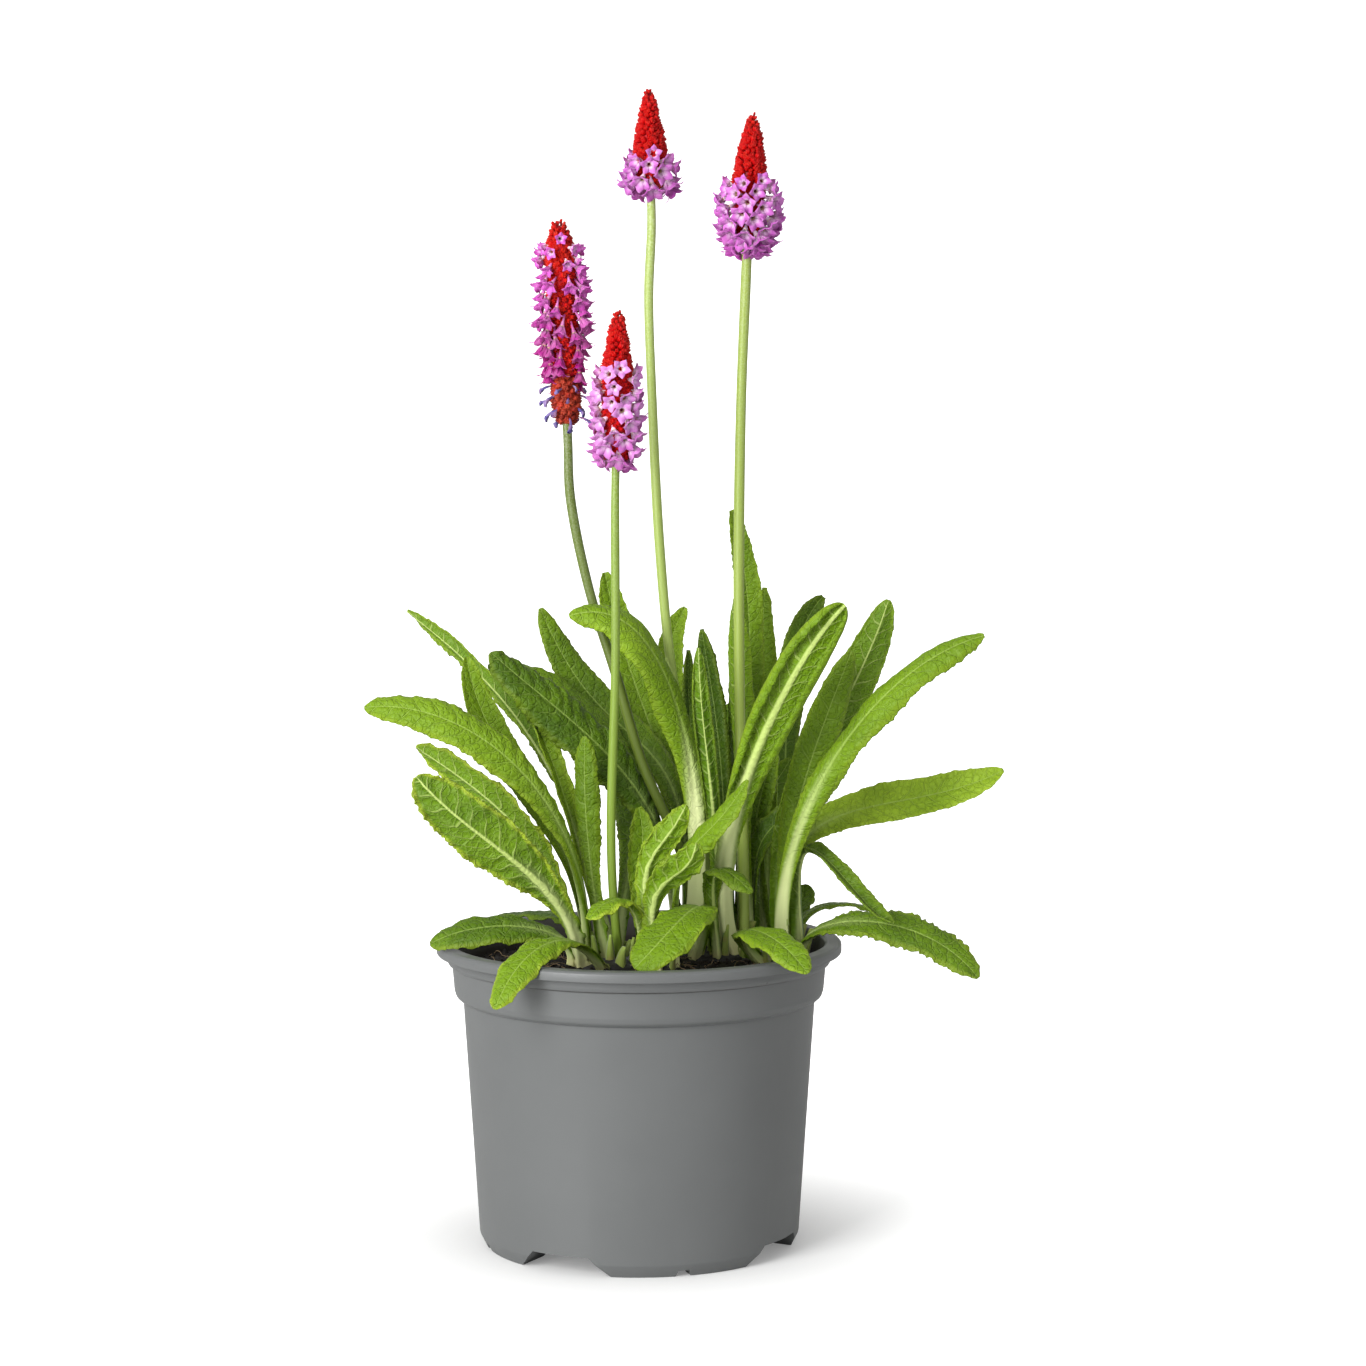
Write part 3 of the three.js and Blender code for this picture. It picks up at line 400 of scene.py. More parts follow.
# The leaves of each crown, numbered from 01. Leaf: root (mm from the crown's middle, direction), points
# of the midrib a third and two thirds of the way up and at the tip, width, roll and cup, and the way it
# faces if that isn't the way it leans. Then its looks: tone from dark to light, yellow margin, pale
# stalk, depth of the puckering, size of the teeth, and how far the margins are rolled under.
LEAVES = {
    "left": [
        (6, 200, -25, -24, 139, -52, -28, 168, -86, -22, 175, 13, -60, -0.25, None,
         0.05, 0.1, 0.3, 0.8, 0.5, 0.6),
        (6, 115, -21, 6, 138, -44, 20, 174, -76, 32, 202, 8, 68, 0.3, None, -0.25, 0.1, 0.3, 0.4, 1, 0.9),
        (6, 150, -26, -7, 132, -43, -4, 159, -55, 2, 189, 10.5, -50, 0.2, None,
         -0.05, 0, 0.3, 0.2, 0.3, 0.3),
        (4, 60, -19, -7, 130, -26, -4, 152, -36, 2, 176, 6, -30, 0.6, None, 0.1, 0.1, 0.9, 0.3, 0.3, 0.3),
        (10, 176, -27, -16, 122, -46, -17, 145, -70, -13, 162, 13, 50, 0.2, None,
         -0.12, 0.5, 0.3, 1, 0.8, 0.5),
        (9.5, 216, -27, -36, 118, -46, -50, 137, -67, -56, 157, 17.5, 60, 0.15, None,
         -0.22, 0.5, 0.6, 1.2, 1.1, 0.7),
        (11, 194, -27, -19, 103, -46, -23, 106, -66, -21, 100, 13, -35, -0.2, None,
         -0.35, 0.1, 0.3, 0.6, 0.6, 0.5),
        (10, 262, -21, -38, 104, -33, -54, 102, -43, -65, 87, 12, -15, -0.2, None,
         0.02, 0.35, 0.3, 0.6, 0.4, 0.5),
        (10, 130, -22, 8, 103, -34, 22, 104, -47, 34, 101, 12, 0, -0.2, None, -0.5, 0, 0.2, 0.7, 0.5, 0.4),
        (5, 265, -15, -17, 123, -17, -15, 145, -17, -15, 165, 8.5, 0, -0.3, 70,
         -0.2, 0, 0.2, 0.6, 0.6, 0.7)],
    "front": [
        (4.5, 190, -1, -28, 113, -9, -36, 116, -15, -42, 111, 10, 0, -0.3, None,
         0.05, 0.5, 0.4, 0.3, 0.6, 0.5),
        (4.5, 270, 5, -30, 116, 12, -38, 125, 18, -44, 135, 11, -30, 0.3, None,
         -0.12, 0.1, 0.5, 1.2, 0.5, 0.5),
        (1, 60, 2, -22, 119, 7, -24, 132, 15, -22, 144, 9, -30, 0.3, -60, 0.1, 0.2, 0.5, 1.1, 0.6, 0.5),
        (4.5, 110, 0, -14, 117, 1, -12, 129, 0, -10, 142, 8, 0, 0.3, 90, -0.2, 0.1, 0.3, 0.6, 0.5, 0.3),
        (5, 20, 12, -20, 122, 20, -27, 135, 34, -29, 153, 10, 55, -0.3, None,
         -0.05, 0, 0.3, 0.5, 0.4, 0.4)],
    "middle": [
        (10, 190, 5, 4, 136, -17, -2, 165, -47, -4, 191, 17, -60, -0.25, None,
         -0.42, 0, 0.3, 1.5, 0.9, 0.7),
        (10.4, 160, 3, 18, 139, -21, 28, 171, -50, 32, 184, 15, -30, -0.2, None,
         -0.25, 0, 0.3, 0.8, 0.4, 0.3),
        (10.2, 134, 10, 22, 146, -9, 36, 166, -33, 42, 202, 13, -50, -0.2, None,
         -0.3, 0, 0.3, 0.35, 0.4, 0.3),
        (9, 215, 18, -2, 142, 6, -7, 189, -22, -10, 203, 15, -50, -0.35, None,
         0.08, 0, 1.3, 0.35, 0.4, 0.8),
        (10.6, 110, 13, 32, 135, 0, 50, 171, -12, 58, 213, 13, 0, 0.2, 105, -0.1, 0, 0.3, 0.4, 0.4, 0.3),
        (10.5, 84, 18, 44, 138, 10, 66, 173, 15, 80, 200, 9, 0, 0.2, 95, 0.1, 0, 0.3, 0.4, 0.4, 0.3),
        (4, 90, 20, 14, 132, 17, 16, 162, 16, 16, 190, 6, 0, 0.4, 120, -0.45, 0, 0.1, 0.3, 0.5, 1.4),
        (5, 305, 24, -2, 137, 21, -9, 165, 19, -13, 193, 6.5, 0, 0.5, 270, -0.35, 0, 0, 0.3, 0.5, 1.6),
        (6.5, 30, 27, 10, 142, 24, 12, 172, 20, 12, 197, 8, 0, 0.4, 60, -0.5, 0, 0.1, 0.3, 0.6, 1.4),
        (9.5, 325, 29, -12, 133, 45, -30, 179, 64, -38, 208, 14.5, -40, 0.35, None,
         -0.12, 0, 1.1, 0.6, 0.4, 1.9),
        (10.5, 240, 20, -18, 111.5, 12, -39.5, 109.5, -1, -50, 97, 19, 0, -0.15, None,
         -0.08, 0.12, 0.3, 0.6, 0.3, 0.4),
        (10, 280, 23, -9, 116, 26, -19, 124, 36, -26, 117, 9, 0, -0.2, None, -0.25, 0, 0.2, 0.3, 0.4, 0.5)],
    "right": [
        (10, 150, 35, 22, 144, 36, 26, 193, 30, 22, 235, 9, 0, 0.3, 110, -0.15, 0, 0.3, 0.4, 0.5, 0.4),
        (7, 190, 33, 10, 132, 32, 10, 168, 31, 10, 207, 9, 0, 0.7, 240, -0.1, 0, 0.8, 0.3, 0.3, 0.5),
        (7, 100, 42, 28, 139, 41, 36, 175, 41, 40, 209, 8, 0, 0.3, None, -0.05, 0, 0.3, 0.3, 0.3, 0.3),
        (8.5, 74, 48, 46, 142.5, 51, 60, 180.5, 61.5, 66, 204.5, 10, 30, 0.3, None,
         -0.4, 0, 0.3, 0.5, 0.4, 0.4),
        (4.5, 15, 47, 4, 131, 62.5, -5, 169, 79, -10, 208, 14, -60, 0.25, None,
         -0.22, 0, 0.2, 0.4, 0.3, 0.5),
        # The sixth leaf's dark tone is partly its own colour and partly painted shade, as it lies in shade
        (5.5, 325, 48, -3, 127, 55, -11, 158, 67, -17, 192, 12, -50, -0.25, 133,
         -0.2, 0, 0.2, 0.2, 0.3, 0.5),
        (9.5, 300, 51, -15, 136, 74, -25, 176, 108, -26, 198, 12, 55, -0.3, None,
         -0.1, 0, 0.65, 0.5, 0.8, 0.8),
        (9, 28, 54, 15, 129, 82, 20, 140, 118, 16, 151, 13, 62, 0.2, None, 0.34, 0, 0.4, 0.6, 0.3, 0.4),
        (10, 358, 53, 3, 127, 66, -10, 119, 80, -26, 108, 6, 10, 0.6, None, -0.35, 0, 0.3, 0.3, 0.5, 0.6),
        (11, 332, 59, -10, 104, 83, -18, 105, 107, -26, 90, 13, 35, -0.2, None,
         -0.3, 0.1, 0.3, 0.6, 1.9, 0.3),
        (11.5, 46, 57, 22, 105, 72, 30, 105, 85, 34, 101, 8, 0, -0.2, None, -0.2, 0, 0.3, 0.4, 0.6, 0.4),
        (10.5, 262, 33, -18, 103, 40, -39, 106, 52, -58, 97, 12.5, 10, -0.15, None,
         -0.1, 0.1, 0.2, 0.5, 0.3, 0.5),
        (4, 170, 37, 9, 119, 41.5, 8.5, 132, 51, 9, 140, 10, 40, 0.2, None, -0.4, 0, 0.3, 0.4, 0.6, 0.3),
        (10, 124, 37, 26, 120, 41, 36, 137, 50, 42, 152, 9, 20, 0.2, None, -0.35, 0, 0.3, 0.4, 0.5, 0.3),
        (3.5, 100, 38, 15, 125, 39, 16, 141, 44, 16, 159, 8, 20, 0.2, None, -0.25, 0, 0.3, 0.4, 0.5, 0.3)],
}
# The three leaves whose broad stalks face the front: how much broader their midribs are, and 1 for
# the upper side in front or -1 for the underside
BROAD_STALKS = {"blade_middle_04": (1.0, 1), "blade_middle_10": (2.1, -1), "blade_right_07": (1.2, 1)}
WIDEST_AT = 0.67
BLADE_STARTS_AT = 0.12
ACROSS = [-1, -0.95, -0.88, -0.8, -0.7, -0.6, -0.48, -0.36, -0.24, -0.14, -0.06]
ACROSS += [0] + [-share for share in reversed(ACROSS)]
MEASURED_STEPS = 200
ROW_STEP = 0.75
VEIN_SPACING = 6.0
VEIN_SLOPE = 0.62
TOOTH_SPACING = 2.5
LOBE_SPACING = 5.6
FOLD_SPACING = 6.1
WAVES = 4.5
BLADE = 0.5
KEEL = 3.6


def smooth_step(start, end, value):
    """0 before the start and 1 after the end, with an easy change between."""
    share = min(1, max(0, (value - start) / (end - start)))
    return share * share * (3 - 2 * share)


def vein_count(along, across, half, seed):
    """Whole numbers lie on one side's veins, which arch to the tip; the other side's are halfway."""
    lean = VEIN_SLOPE * abs(across) * (1 + 0.7 * (abs(across) / half) ** 1.5)
    stray = 0.5 * noise.noise(Vector((along / 10, across / 5, seed)))
    return (along - lean) / VEIN_SPACING + stray * min(1, abs(across) / 2) + seed


def leaf(name, crown, row):
    """One leaf: its midrib runs along a curve, and the blade's cross-section is carried along it."""
    (distance, direction, *points, width, roll, cup, facing,
     tone, yellow_edge, pale_stalk, pucker, teeth, turned_under) = row
    seed = noise.cell(Vector((distance * 7.3, direction * 3.1, width))) * 40
    cx, cy = CROWNS[crown]
    root = Vector((cx + distance * cos(radians(direction)),
                   cy + distance * sin(radians(direction)),
                   soil_height(hypot(cx, cy)) + CROWN_RISE - ROOT_SINK))
    lower, upper, tip = [Vector(points[i:i + 3]) for i in (0, 3, 6)]
    first = -5 / 6 * root + 3 * lower - 1.5 * upper + tip / 3
    second = root / 3 - 1.5 * lower + 3 * upper - 5 / 6 * tip
    lean = tip - root
    faced = atan2(lean.y, lean.x) if facing is None else radians(facing)
    stalk = (1.5 + 0.06 * width) * (1 + 0.25 * max(0, pale_stalk - 0.5))
    blade_start = BLADE_STARTS_AT + 0.15 * max(0, pale_stalk - 0.3)
    roll_start = -max(0, pale_stalk - 0.4)

    def rib(t):
        s = 1 - t
        return s ** 3 * root + 3 * s * s * t * first + 3 * s * t * t * second + t ** 3 * tip

    lengths = [0]
    for i in range(MEASURED_STEPS):
        lengths.append(lengths[-1] + (rib((i + 1) / MEASURED_STEPS) - rib(i / MEASURED_STEPS)).length)
    rows_up = ceil(lengths[-1] / ROW_STEP)
    columns = len(ACROSS) - 1
    blade = start(name, bpy.ops.mesh.primitive_grid_add, size=2,
                  x_subdivisions=columns, y_subdivisions=rows_up)
    frames, marks, veins, thicknesses = {}, [], [], []
    for vertex in blade.data.vertices:
        column = round((vertex.co.x + 1) / 2 * columns)
        step = round((vertex.co.y + 1) / 2 * rows_up)
        t, u = step / rows_up, -ACROSS[column]
        if step not in frames:
            s = 1 - t
            tangent = (3 * s * s * (first - root) + 6 * s * t * (second - first)
                       + 3 * t * t * (tip - second)).normalized()
            level = Vector((-sin(faced), cos(faced), 0))
            across = (level - level.dot(tangent) * tangent).normalized()
            across.rotate(Matrix.Rotation(radians(roll) * smooth_step(roll_start, 0.5, t), 3, tangent))
            if name in BROAD_STALKS:
                level = tangent.cross(Vector((0, BROAD_STALKS[name][1], 0))).normalized()
                turn = atan2(tangent.dot(across.cross(level)), across.dot(level))
                across.rotate(Matrix.Rotation(0.85 * turn * (1 - smooth_step(0.3, 0.62, t)), 3, tangent))
            low = min(MEASURED_STEPS - 1, int(t * MEASURED_STEPS))
            along = lengths[low] + (lengths[low + 1] - lengths[low]) * (t * MEASURED_STEPS - low)
            if t < WIDEST_AT:
                half = stalk + (width / 2 - stalk) * smooth_step(blade_start, WIDEST_AT, t)
            else:
                half = max(width / 2 * sqrt(max(0, 1 - ((t - WIDEST_AT) / (1 - WIDEST_AT)) ** 2.2)), 0.7)
            frames[step] = rib(t), across, tangent.cross(across), along, half
        centre, across, square, along, half = frames[step]
        blade_share = smooth_step(blade_start, blade_start + 0.28, t)
        # The margin rolls under: past its flat part the blade goes round a curl of about 2 mm radius
        full = 1.7 * turned_under * blade_share
        level_share, widest_curl = (0.6, 1.8) if turned_under < 1.2 else (0.42, 2.6)
        curl = min(widest_curl, 0.4 * half)
        flat = half - curl * sin(min(full, pi / 2))
        bend = full * max(0, abs(u) - level_share) / (1 - level_share)
        v = copysign(flat * min(1, abs(u) / level_share) + curl * sin(bend), u)
        # Its edge: fine teeth on shallow lobes, and slow changes of width
        saw = (along / TOOTH_SPACING + 0.4 * noise.noise(Vector((along / 6, seed, u)))) % 1
        tooth = (1 - saw) / 0.65 if saw > 0.35 else saw / 0.35
        ragged = teeth * (0.95 * tooth - 0.45) + 0.12 * sin(2 * pi * along / LOBE_SPACING + seed + u)
        ragged += (0.2 + 0.7 * teeth) * noise.noise(Vector((along / 8, seed + 3 * (u > 0), 1.5)))
        outer = smooth_step(0.84, 1, abs(u)) * blade_share * min(1, half / 3)
        v += copysign(outer * ragged, u)
        # The blade: cupped, wavy at the edge, sunk along the veins and swollen between them
        rise = cup * half * abs(u) ** 1.5 - curl * (1 - cos(bend))
        wave_shift = 1.7 if u > 0 else -1.7 if u < 0 else 0
        rise += 0.12 * half * u * u * sin(2 * pi * WAVES * t + wave_shift)
        count = vein_count(along, v, half, seed)
        veins.append((count, 0, seed))
        between = abs(sin(pi * (count + (0.5 if v > 0 else 0)))) ** 0.6
        inside = smooth_step(0.03, 0.25, abs(u)) * (1 - 0.5 * smooth_step(0.8, 1, abs(u)))
        rise += pucker * 0.7 * (between - 0.5) * inside * min(1, half / 5)
        cell = noise.voronoi(Vector((v / 2.4, along / 2.4, seed)))[0]
        rise += pucker * 0.55 * (min(cell[1] - cell[0], 0.7) - 0.3) * inside
        rise += 0.5 * noise.noise(Vector((v / 9, along / 15, seed + 5))) * abs(u)
        fold = 2 * pi * along / FOLD_SPACING + seed + 0.8 * noise.noise(Vector((along / 7, seed, 9.1)))
        rise += 0.5 * pucker * sin(fold) * abs(u) ** 3
        rise -= 0.35 * exp(-((v / 0.8) ** 2))
        rise *= smooth_step(0, 0.5, t) if t < 0.12 else max(smooth_step(0, 0.5, t), blade_share)
        vertex.co = in_place(*(centre + across * v + square * rise))
        rib_depth = stalk * 0.9 + (0.3 - stalk * 0.9) * min(1.6 * t, 1)
        thick = BLADE + rib_depth * 1.15 * exp(-((v / (0.75 + 0.9 * rib_depth / 2)) ** 2))
        thicknesses.append(thick * (1 if t < 0.97 else 0.6))
        marks.append((v, along, half))
    mark(blade, "blade", marks)
    mark(blade, "veins", veins)
    rib_half = (0.16 + 0.022 * width) * (1 + 1.1 * pale_stalk) * BROAD_STALKS.get(name, (1, 0))[0]
    grown = [along / lengths[-1] for _, along, _ in marks]
    mark(blade, "growth", [(share, rib_half * (1.2 - share), 0) for share in grown])
    mark(blade, "tint", [(tone, yellow_edge, pale_stalk)] * len(marks))
    group = blade.vertex_groups.new(name="thickness")
    for i, thick in enumerate(thicknesses):
        group.add([i], min(1, thick / KEEL), "REPLACE")
    blade.data.materials.append(leaf_upper_side)
    blade.data.materials.append(leaf_underside)
    modified(blade, "SOLIDIFY", thickness=KEEL / 1000, offset=-1, vertex_group="thickness",
             material_offset=1, material_offset_rim=1)
    blade.vertex_groups.clear()
    bpy.ops.object.shade_smooth()
    return blade


def leaf_skin(name, dark, middle, light, vein, rib_strength, vein_strength, net, raised):
    """A primrose leaf's skin: soft and hairy, so its shine is broken into a matt sheen. The veins run
    from the midrib to the margin about 6 mm apart, with a fine net of 2 mm meshes between them."""
    material, node, place = new_material(name)
    across, along, half = read_mark(node, "blade")
    grown, rib_half, _ = read_mark(node, "growth")
    count, _, seed = read_mark(node, "veins")
    tone, yellow_edge, pale_stalk = read_mark(node, "tint")
    off_rib = node("Math ABSOLUTE", across)
    reach = node(OVER, off_rib, half)
    count = node(TIMES_PLUS, node("Math GREATER_THAN", across, 0), 0.5, count)
    off_vein = node(TIMES, node("Math PINGPONG", count, 0.5), VEIN_SPACING)
    off_vein = node(TIMES_PLUS, node(MINUS, node("TexNoise", place, 300, 2), 0.5), 0.5, off_vein)
    # A side vein is 0.7 mm wide at the midrib and thins to a third of that at the margin
    vein_half = node(SMOOTH, reach, 0, 1, 0.34, 0.1)
    in_blade = node(SMOOTH, grown, 0.16, 0.34)
    side_vein = node(TIMES, node(SMOOTH, node(OVER, off_vein, vein_half), 0.5, 1.7, 1, 0), in_blade)
    flat = node("CombineXYZ", across, along, seed)
    mesh_net = node("TexVoronoi DISTANCE_TO_EDGE", flat, 0.46, {"Randomness": 0.85})
    net_line = node(TIMES, node(SMOOTH, mesh_net, 0.02, 0.13, 1, 0), in_blade)
    # The midrib is as broad as the stalk low down and thins to a line; the pale stalk runs up into it
    midrib = node(TIMES, node(SMOOTH, node(OVER, off_rib, rib_half), 0.5, 1.2, 1, 0), rib_strength)
    wide = node(SMOOTH, node(OVER, reach, node(MINUS, 1.05, grown)), 0.3, 0.9, 1, 0)
    blade_from = node(TIMES_PLUS, node("Math POWER", reach, 2), 0.2, grown)
    blade_from = node(OVER, blade_from, node(TIMES_PLUS, pale_stalk, 0.85, 0.65))
    up_rib = node(TIMES, node(SMOOTH, grown, 0.25, 0.62, 1, 0), wide)
    up_rib = node(TIMES, up_rib, node(TIMES, pale_stalk, 0.8))
    at_base = node(LARGER, node(SMOOTH, blade_from, 0.15, 0.34, 1, 0), up_rib)
    lines = node(LARGER, midrib, node(TIMES, side_vein, vein_strength))
    lines = node(LARGER, lines, node(TIMES, net_line, net))
    # Ground colour: by the leaf's tone, lighter between the veins and in slow patches
    shift = node(TIMES_PLUS, node(MINUS, node("TexNoise", place, 70, 4), 0.5), 0.5, tone)
    level = node(TIMES_PLUS, node(MINUS, mesh_net, 0.2), 0.18, shift)
    ground = node(MIX, node(SMOOTH, level, -0.6, 0), dark, middle)
    ground = node(MIX, node(SMOOTH, level, 0, 0.55), ground, light)
    colour = node(MIX, lines, ground, vein)
    edge = node(TIMES, node(SMOOTH, node(MINUS, half, off_rib), 0.1, 1.5, 1, 0), in_blade)
    edge = node(TIMES, edge, node(TIMES_PLUS, yellow_edge, 0.6, 0.1))
    colour = node(MIX, edge, colour, MARGIN_YELLOW)
    stalk = node(TIMES, at_base, node(TIMES_PLUS, pale_stalk, 0.75, 0.3), use_clamp=True)
    colour = node(MIX, stalk, colour, STALK_CREAM)
    colour = node(MIX, node(SMOOTH, grown, 0.02, 0.1, 0.2, 0), colour, STALK_BLUSH)
    # Relief: the lines sink into the upper side and stand up under it; hair bases roughen both
    ridges = node(LARGER, node(LARGER, midrib, side_vein), node(TIMES, net_line, 0.5))
    hairs = node(TIMES, node("TexNoise", place, 1400, 2), 0.5)
    fine_cells = node("TexVoronoi SMOOTH_F1", flat, 0.95, {"Randomness": 0.9})
    relief = node(TIMES_PLUS, fine_cells, -0.9, node(TIMES_PLUS, ridges, raised, hairs))
    relief = node(TIMES, relief, node(TIMES_PLUS, at_base, -0.8, 1))
    surface(node, relief, 0.8, 0.0005, {
        "Base Color": colour, "Roughness": 0.48, "IOR": 1.42, "Specular IOR Level": 0.28,
        "Sheen Weight": 0.03, "Sheen Roughness": 0.4, "Sheen Tint": "#e4efb8"})
    return material


MARGIN_YELLOW = "#b9c63e"
STALK_CREAM = "#e2eaaa"
STALK_BLUSH = "#c9907e"
# Skin: its dark, middle and light green, the veins' colour, how much the midrib, the side veins and the
# net show in it, and 1 where they stand up or -1 where they sink
LEAF_SKINS = {
    "leaf_upper_side": ("#365206", "#6a8a10", "#9cbc2e", "#aac464", 0.4, 0.14, 0.04, -1),
    "leaf_underside": ("#3c5e06", "#6a8c10", "#96b42a", "#bccf76", 0.85, 0.36, 0.08, 1)}
leaf_upper_side, leaf_underside = [leaf_skin(name, *looks) for name, looks in LEAF_SKINS.items()]

for crown_name, rows in LEAVES.items():
    for number, row in enumerate(rows, 1):
        grown_leaf = leaf(f"blade_{crown_name}_{number:02d}", crown_name, row)
        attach(grown_leaf, "root")
        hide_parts(f"leaf_{crown_name}_{number:02d}")

# Crowns
# The short rootstocks that the leaves and stalks grow from: low knobbly mounds, just over the compost,
# wrapped in small pale scales that are flushed with pink. The youngest leaves are one with them.
CROWN_BODIES = {"crown_left": [("left", 11.6)], "crown_front": [("front", 6.4)],
                "crown_right": [("middle", 13.0), ("right", 13.5)]}
# Young leaf: its group of leaves and its row, as far as the looks, which all four share
YOUNG_LEAVES = {
    "crown_left": {
        "young_leaf_left_back": ("left", 7, 75, -3, 20, 124, -4, 44, 143, -14, 60, 162, 13, 0, -0.2)},
    "crown_front": {},
    "crown_right": {
        "young_leaf_middle_back": ("middle", 10, 62, 26, 28, 124, 28, 50, 148, 30, 70, 168, 13, 0, -0.2),
        "young_leaf_right_back": ("right", 10.3, 98, 40, 46, 116, 42, 66, 138, 45, 80, 158, 13, 0, -0.2),
        "young_leaf_right_small": ("right", 11.7, 64, 50, 28, 100, 53, 36, 105, 54, 41, 110, 9, 0, 0.2)}}
YOUNG_LOOKS = (None, -0.3, 0, 0.3, 0.4, 0.5, 0.3)
SCALE_THICKNESS = 0.0007
CROWN_OLIVE, CROWN_GREEN, CROWN_PINK = "#82903e", "#98b04a", "#a8695c"
GOLDEN_TURN = 2.39996


def crown_mound(centre, radius, dice):
    """A mound with knobs on it and scales round its foot and among the stalks."""
    cx, cy = centre
    top = soil_height(hypot(cx, cy)) + CROWN_RISE
    mound = start("mound", bpy.ops.mesh.primitive_uv_sphere_add, segments=56, ring_count=28, radius=1)
    for vertex in mound.data.vertices:
        x, y, z = vertex.co
        knob = 0.5 - noise.voronoi(Vector((x * radius / 3.4, y * radius / 3.4, z * 3)))[0][0]
        swell = 1 + 0.1 * knob
        vertex.co = in_place(cx + x * radius * swell, cy + y * radius * swell,
                             top - 4 + (4 + 1.5 * knob if z > 0 else 6) * z)
    rounded = len(mound.data.vertices)
    scales = []
    for i in range(int(radius * 1.2)):
        turn = i * GOLDEN_TURN
        out = radius * (0.35 + 0.62 * sqrt((i + 0.5) / (radius * 1.2)))
        scale = start("scale", bpy.ops.mesh.primitive_grid_add, x_subdivisions=6, y_subdivisions=8, size=2)
        tall, wide, bow = dice.uniform(6, 12), dice.uniform(1.2, 1.9), dice.uniform(0.5, 2)
        for vertex in scale.data.vertices:
            u, t = vertex.co.x, (vertex.co.y + 1) / 2
            away, aside = out + bow * (t * t * 1.2 - u * u) + 0.5, -u * (wide * (1 - t ** 1.6) ** 0.8)
            vertex.co = in_place(cx + away * cos(turn) - aside * sin(turn),
                                 cy + away * sin(turn) + aside * cos(turn), top - 3.5 + tall * t)
        modified(scale, "SOLIDIFY", thickness=SCALE_THICKNESS, offset=0)
        scales.append(scale)
    joined(mound, *scales)
    bpy.ops.object.shade_smooth()
    mark(mound, "peat_dark_mound", [(float(v.co.z * 1000 < top + 1.2 and i < rounded), 0, 0)
                            for i, v in enumerate(mound.data.vertices)])
    mound.data.materials.append(crown_material)
    return mound


def crown_flesh():
    """Fleshy leaf bases: pale cream to green, flushed with pink low down, matt under short white hairs.
    The rootstock's mound between them is coloured dark like the peat below its top."""
    material, node, place = new_material("crown_flesh")
    height = node("SeparateXYZ", place).node.outputs["Z"]
    colour = node(MIX, node(LINEAR, height, 0.093, 0.106), CROWN_OLIVE, CROWN_GREEN)
    pink = node(LINEAR, node("TexNoise", place, 180, 3), 0.52, 0.7, 0, 0.4)
    colour = node(MIX, pink, colour, CROWN_PINK)
    # The mound below its top takes the dark peat colour
    colour = node(MIX, read_mark(node, "peat_dark_mound")[0], colour, PEAT_DARK)
    streaks = node("Mapping", place, {"Scale": (1, 1, 0.15)})
    surface(node, node("TexNoise", streaks, 1500, 2), 0.6, 0.0003, {
        "Base Color": colour, "Roughness": 0.55, "IOR": 1.42, "Sheen Weight": 0.3})
    return material


crown_material = crown_flesh()
for crown_name, bodies in CROWN_BODIES.items():
    stock = joined(*[crown_mound(CROWNS[centre], radius, dice) for centre, radius in bodies])
    stock.name = crown_name.replace("crown", "rootstock")
    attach(stock, "root")
    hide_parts(crown_name)
    for leaf_name, (group, *row) in YOUNG_LEAVES[crown_name].items():
        young = leaf(leaf_name, group, (*row, *YOUNG_LOOKS))
        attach(young, "root")
        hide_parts(crown_name)

# Flower stalks
# Four leafless scapes, round, juicy and smooth, each from its crown up into the core of its spike. They
# are green to yellow-green, with a dusting of white meal that is thickest under the flowers.
# Scape: radius, points of its middle line (mm), colour, and how much meal lies near its top.
SCAPES = {
    "back_left": (1.5, [(18, 10, 88), (15, 6, 120), (0.5, 4, 156), (-7, 2, 182), (-16, 2, 211),
                        (-21.8, 2, 240), (-22.5, 2, 257), (-22.9, 2, 267)], "#5c6c26", 0.18),
    "front_left": (1.3, [(-6, -15, 88), (-8.5, -20, 129), (-7, -25, 190), (-7, -25, 238),
                         (-6.7, -25, 256)], "#7b9435", 0.14),
    "tallest": (1.45, [(24, 6, 88), (20, 6, 130), (10.5, 6, 184), (6.5, 6, 226), (4.1, 6, 275),
                       (3.2, 6, 304), (4.1, 6, 326), (3.8, 6, 340.5)], "#9aae58", 0.26),
    "right": (1.6, [(34, 2, 88), (33.5, 4, 126), (32.5, 3, 162), (31.9, 2, 220), (32.6, 2, 271),
                    (33.8, 2, 303), (34.6, 2, 323)], "#8fa248", 0.15),
}
STALK_SIDES = 20
STALK_STEPS = 14
MEAL_WHITE = "#dfe3cf"


def smooth_route(points, steps):
    """Points on a centripetal Catmull-Rom spline through the given ones, in mm."""
    knots = [Vector(point) for point in points]
    knots = [2 * knots[0] - knots[1], *knots, 2 * knots[-1] - knots[-2]]
    route = []
    for a, b, c, d in zip(knots, knots[1:], knots[2:], knots[3:]):
        first, middle, last = [max(0.0001, (q - p).length ** 0.5) for p, q in ((a, b), (b, c), (c, d))]
        leave = ((b - a) / first - (c - a) / (first + middle) + (c - b) / middle) * middle
        arrive = ((c - b) / middle - (d - b) / (middle + last) + (d - c) / last) * middle
        for i in range(steps):
            t = i / steps
            route.append(b + leave * t + (3 * (c - b) - 2 * leave - arrive) * t * t
                         + (2 * (b - c) + leave + arrive) * t ** 3)
    return [*route, knots[-2]]


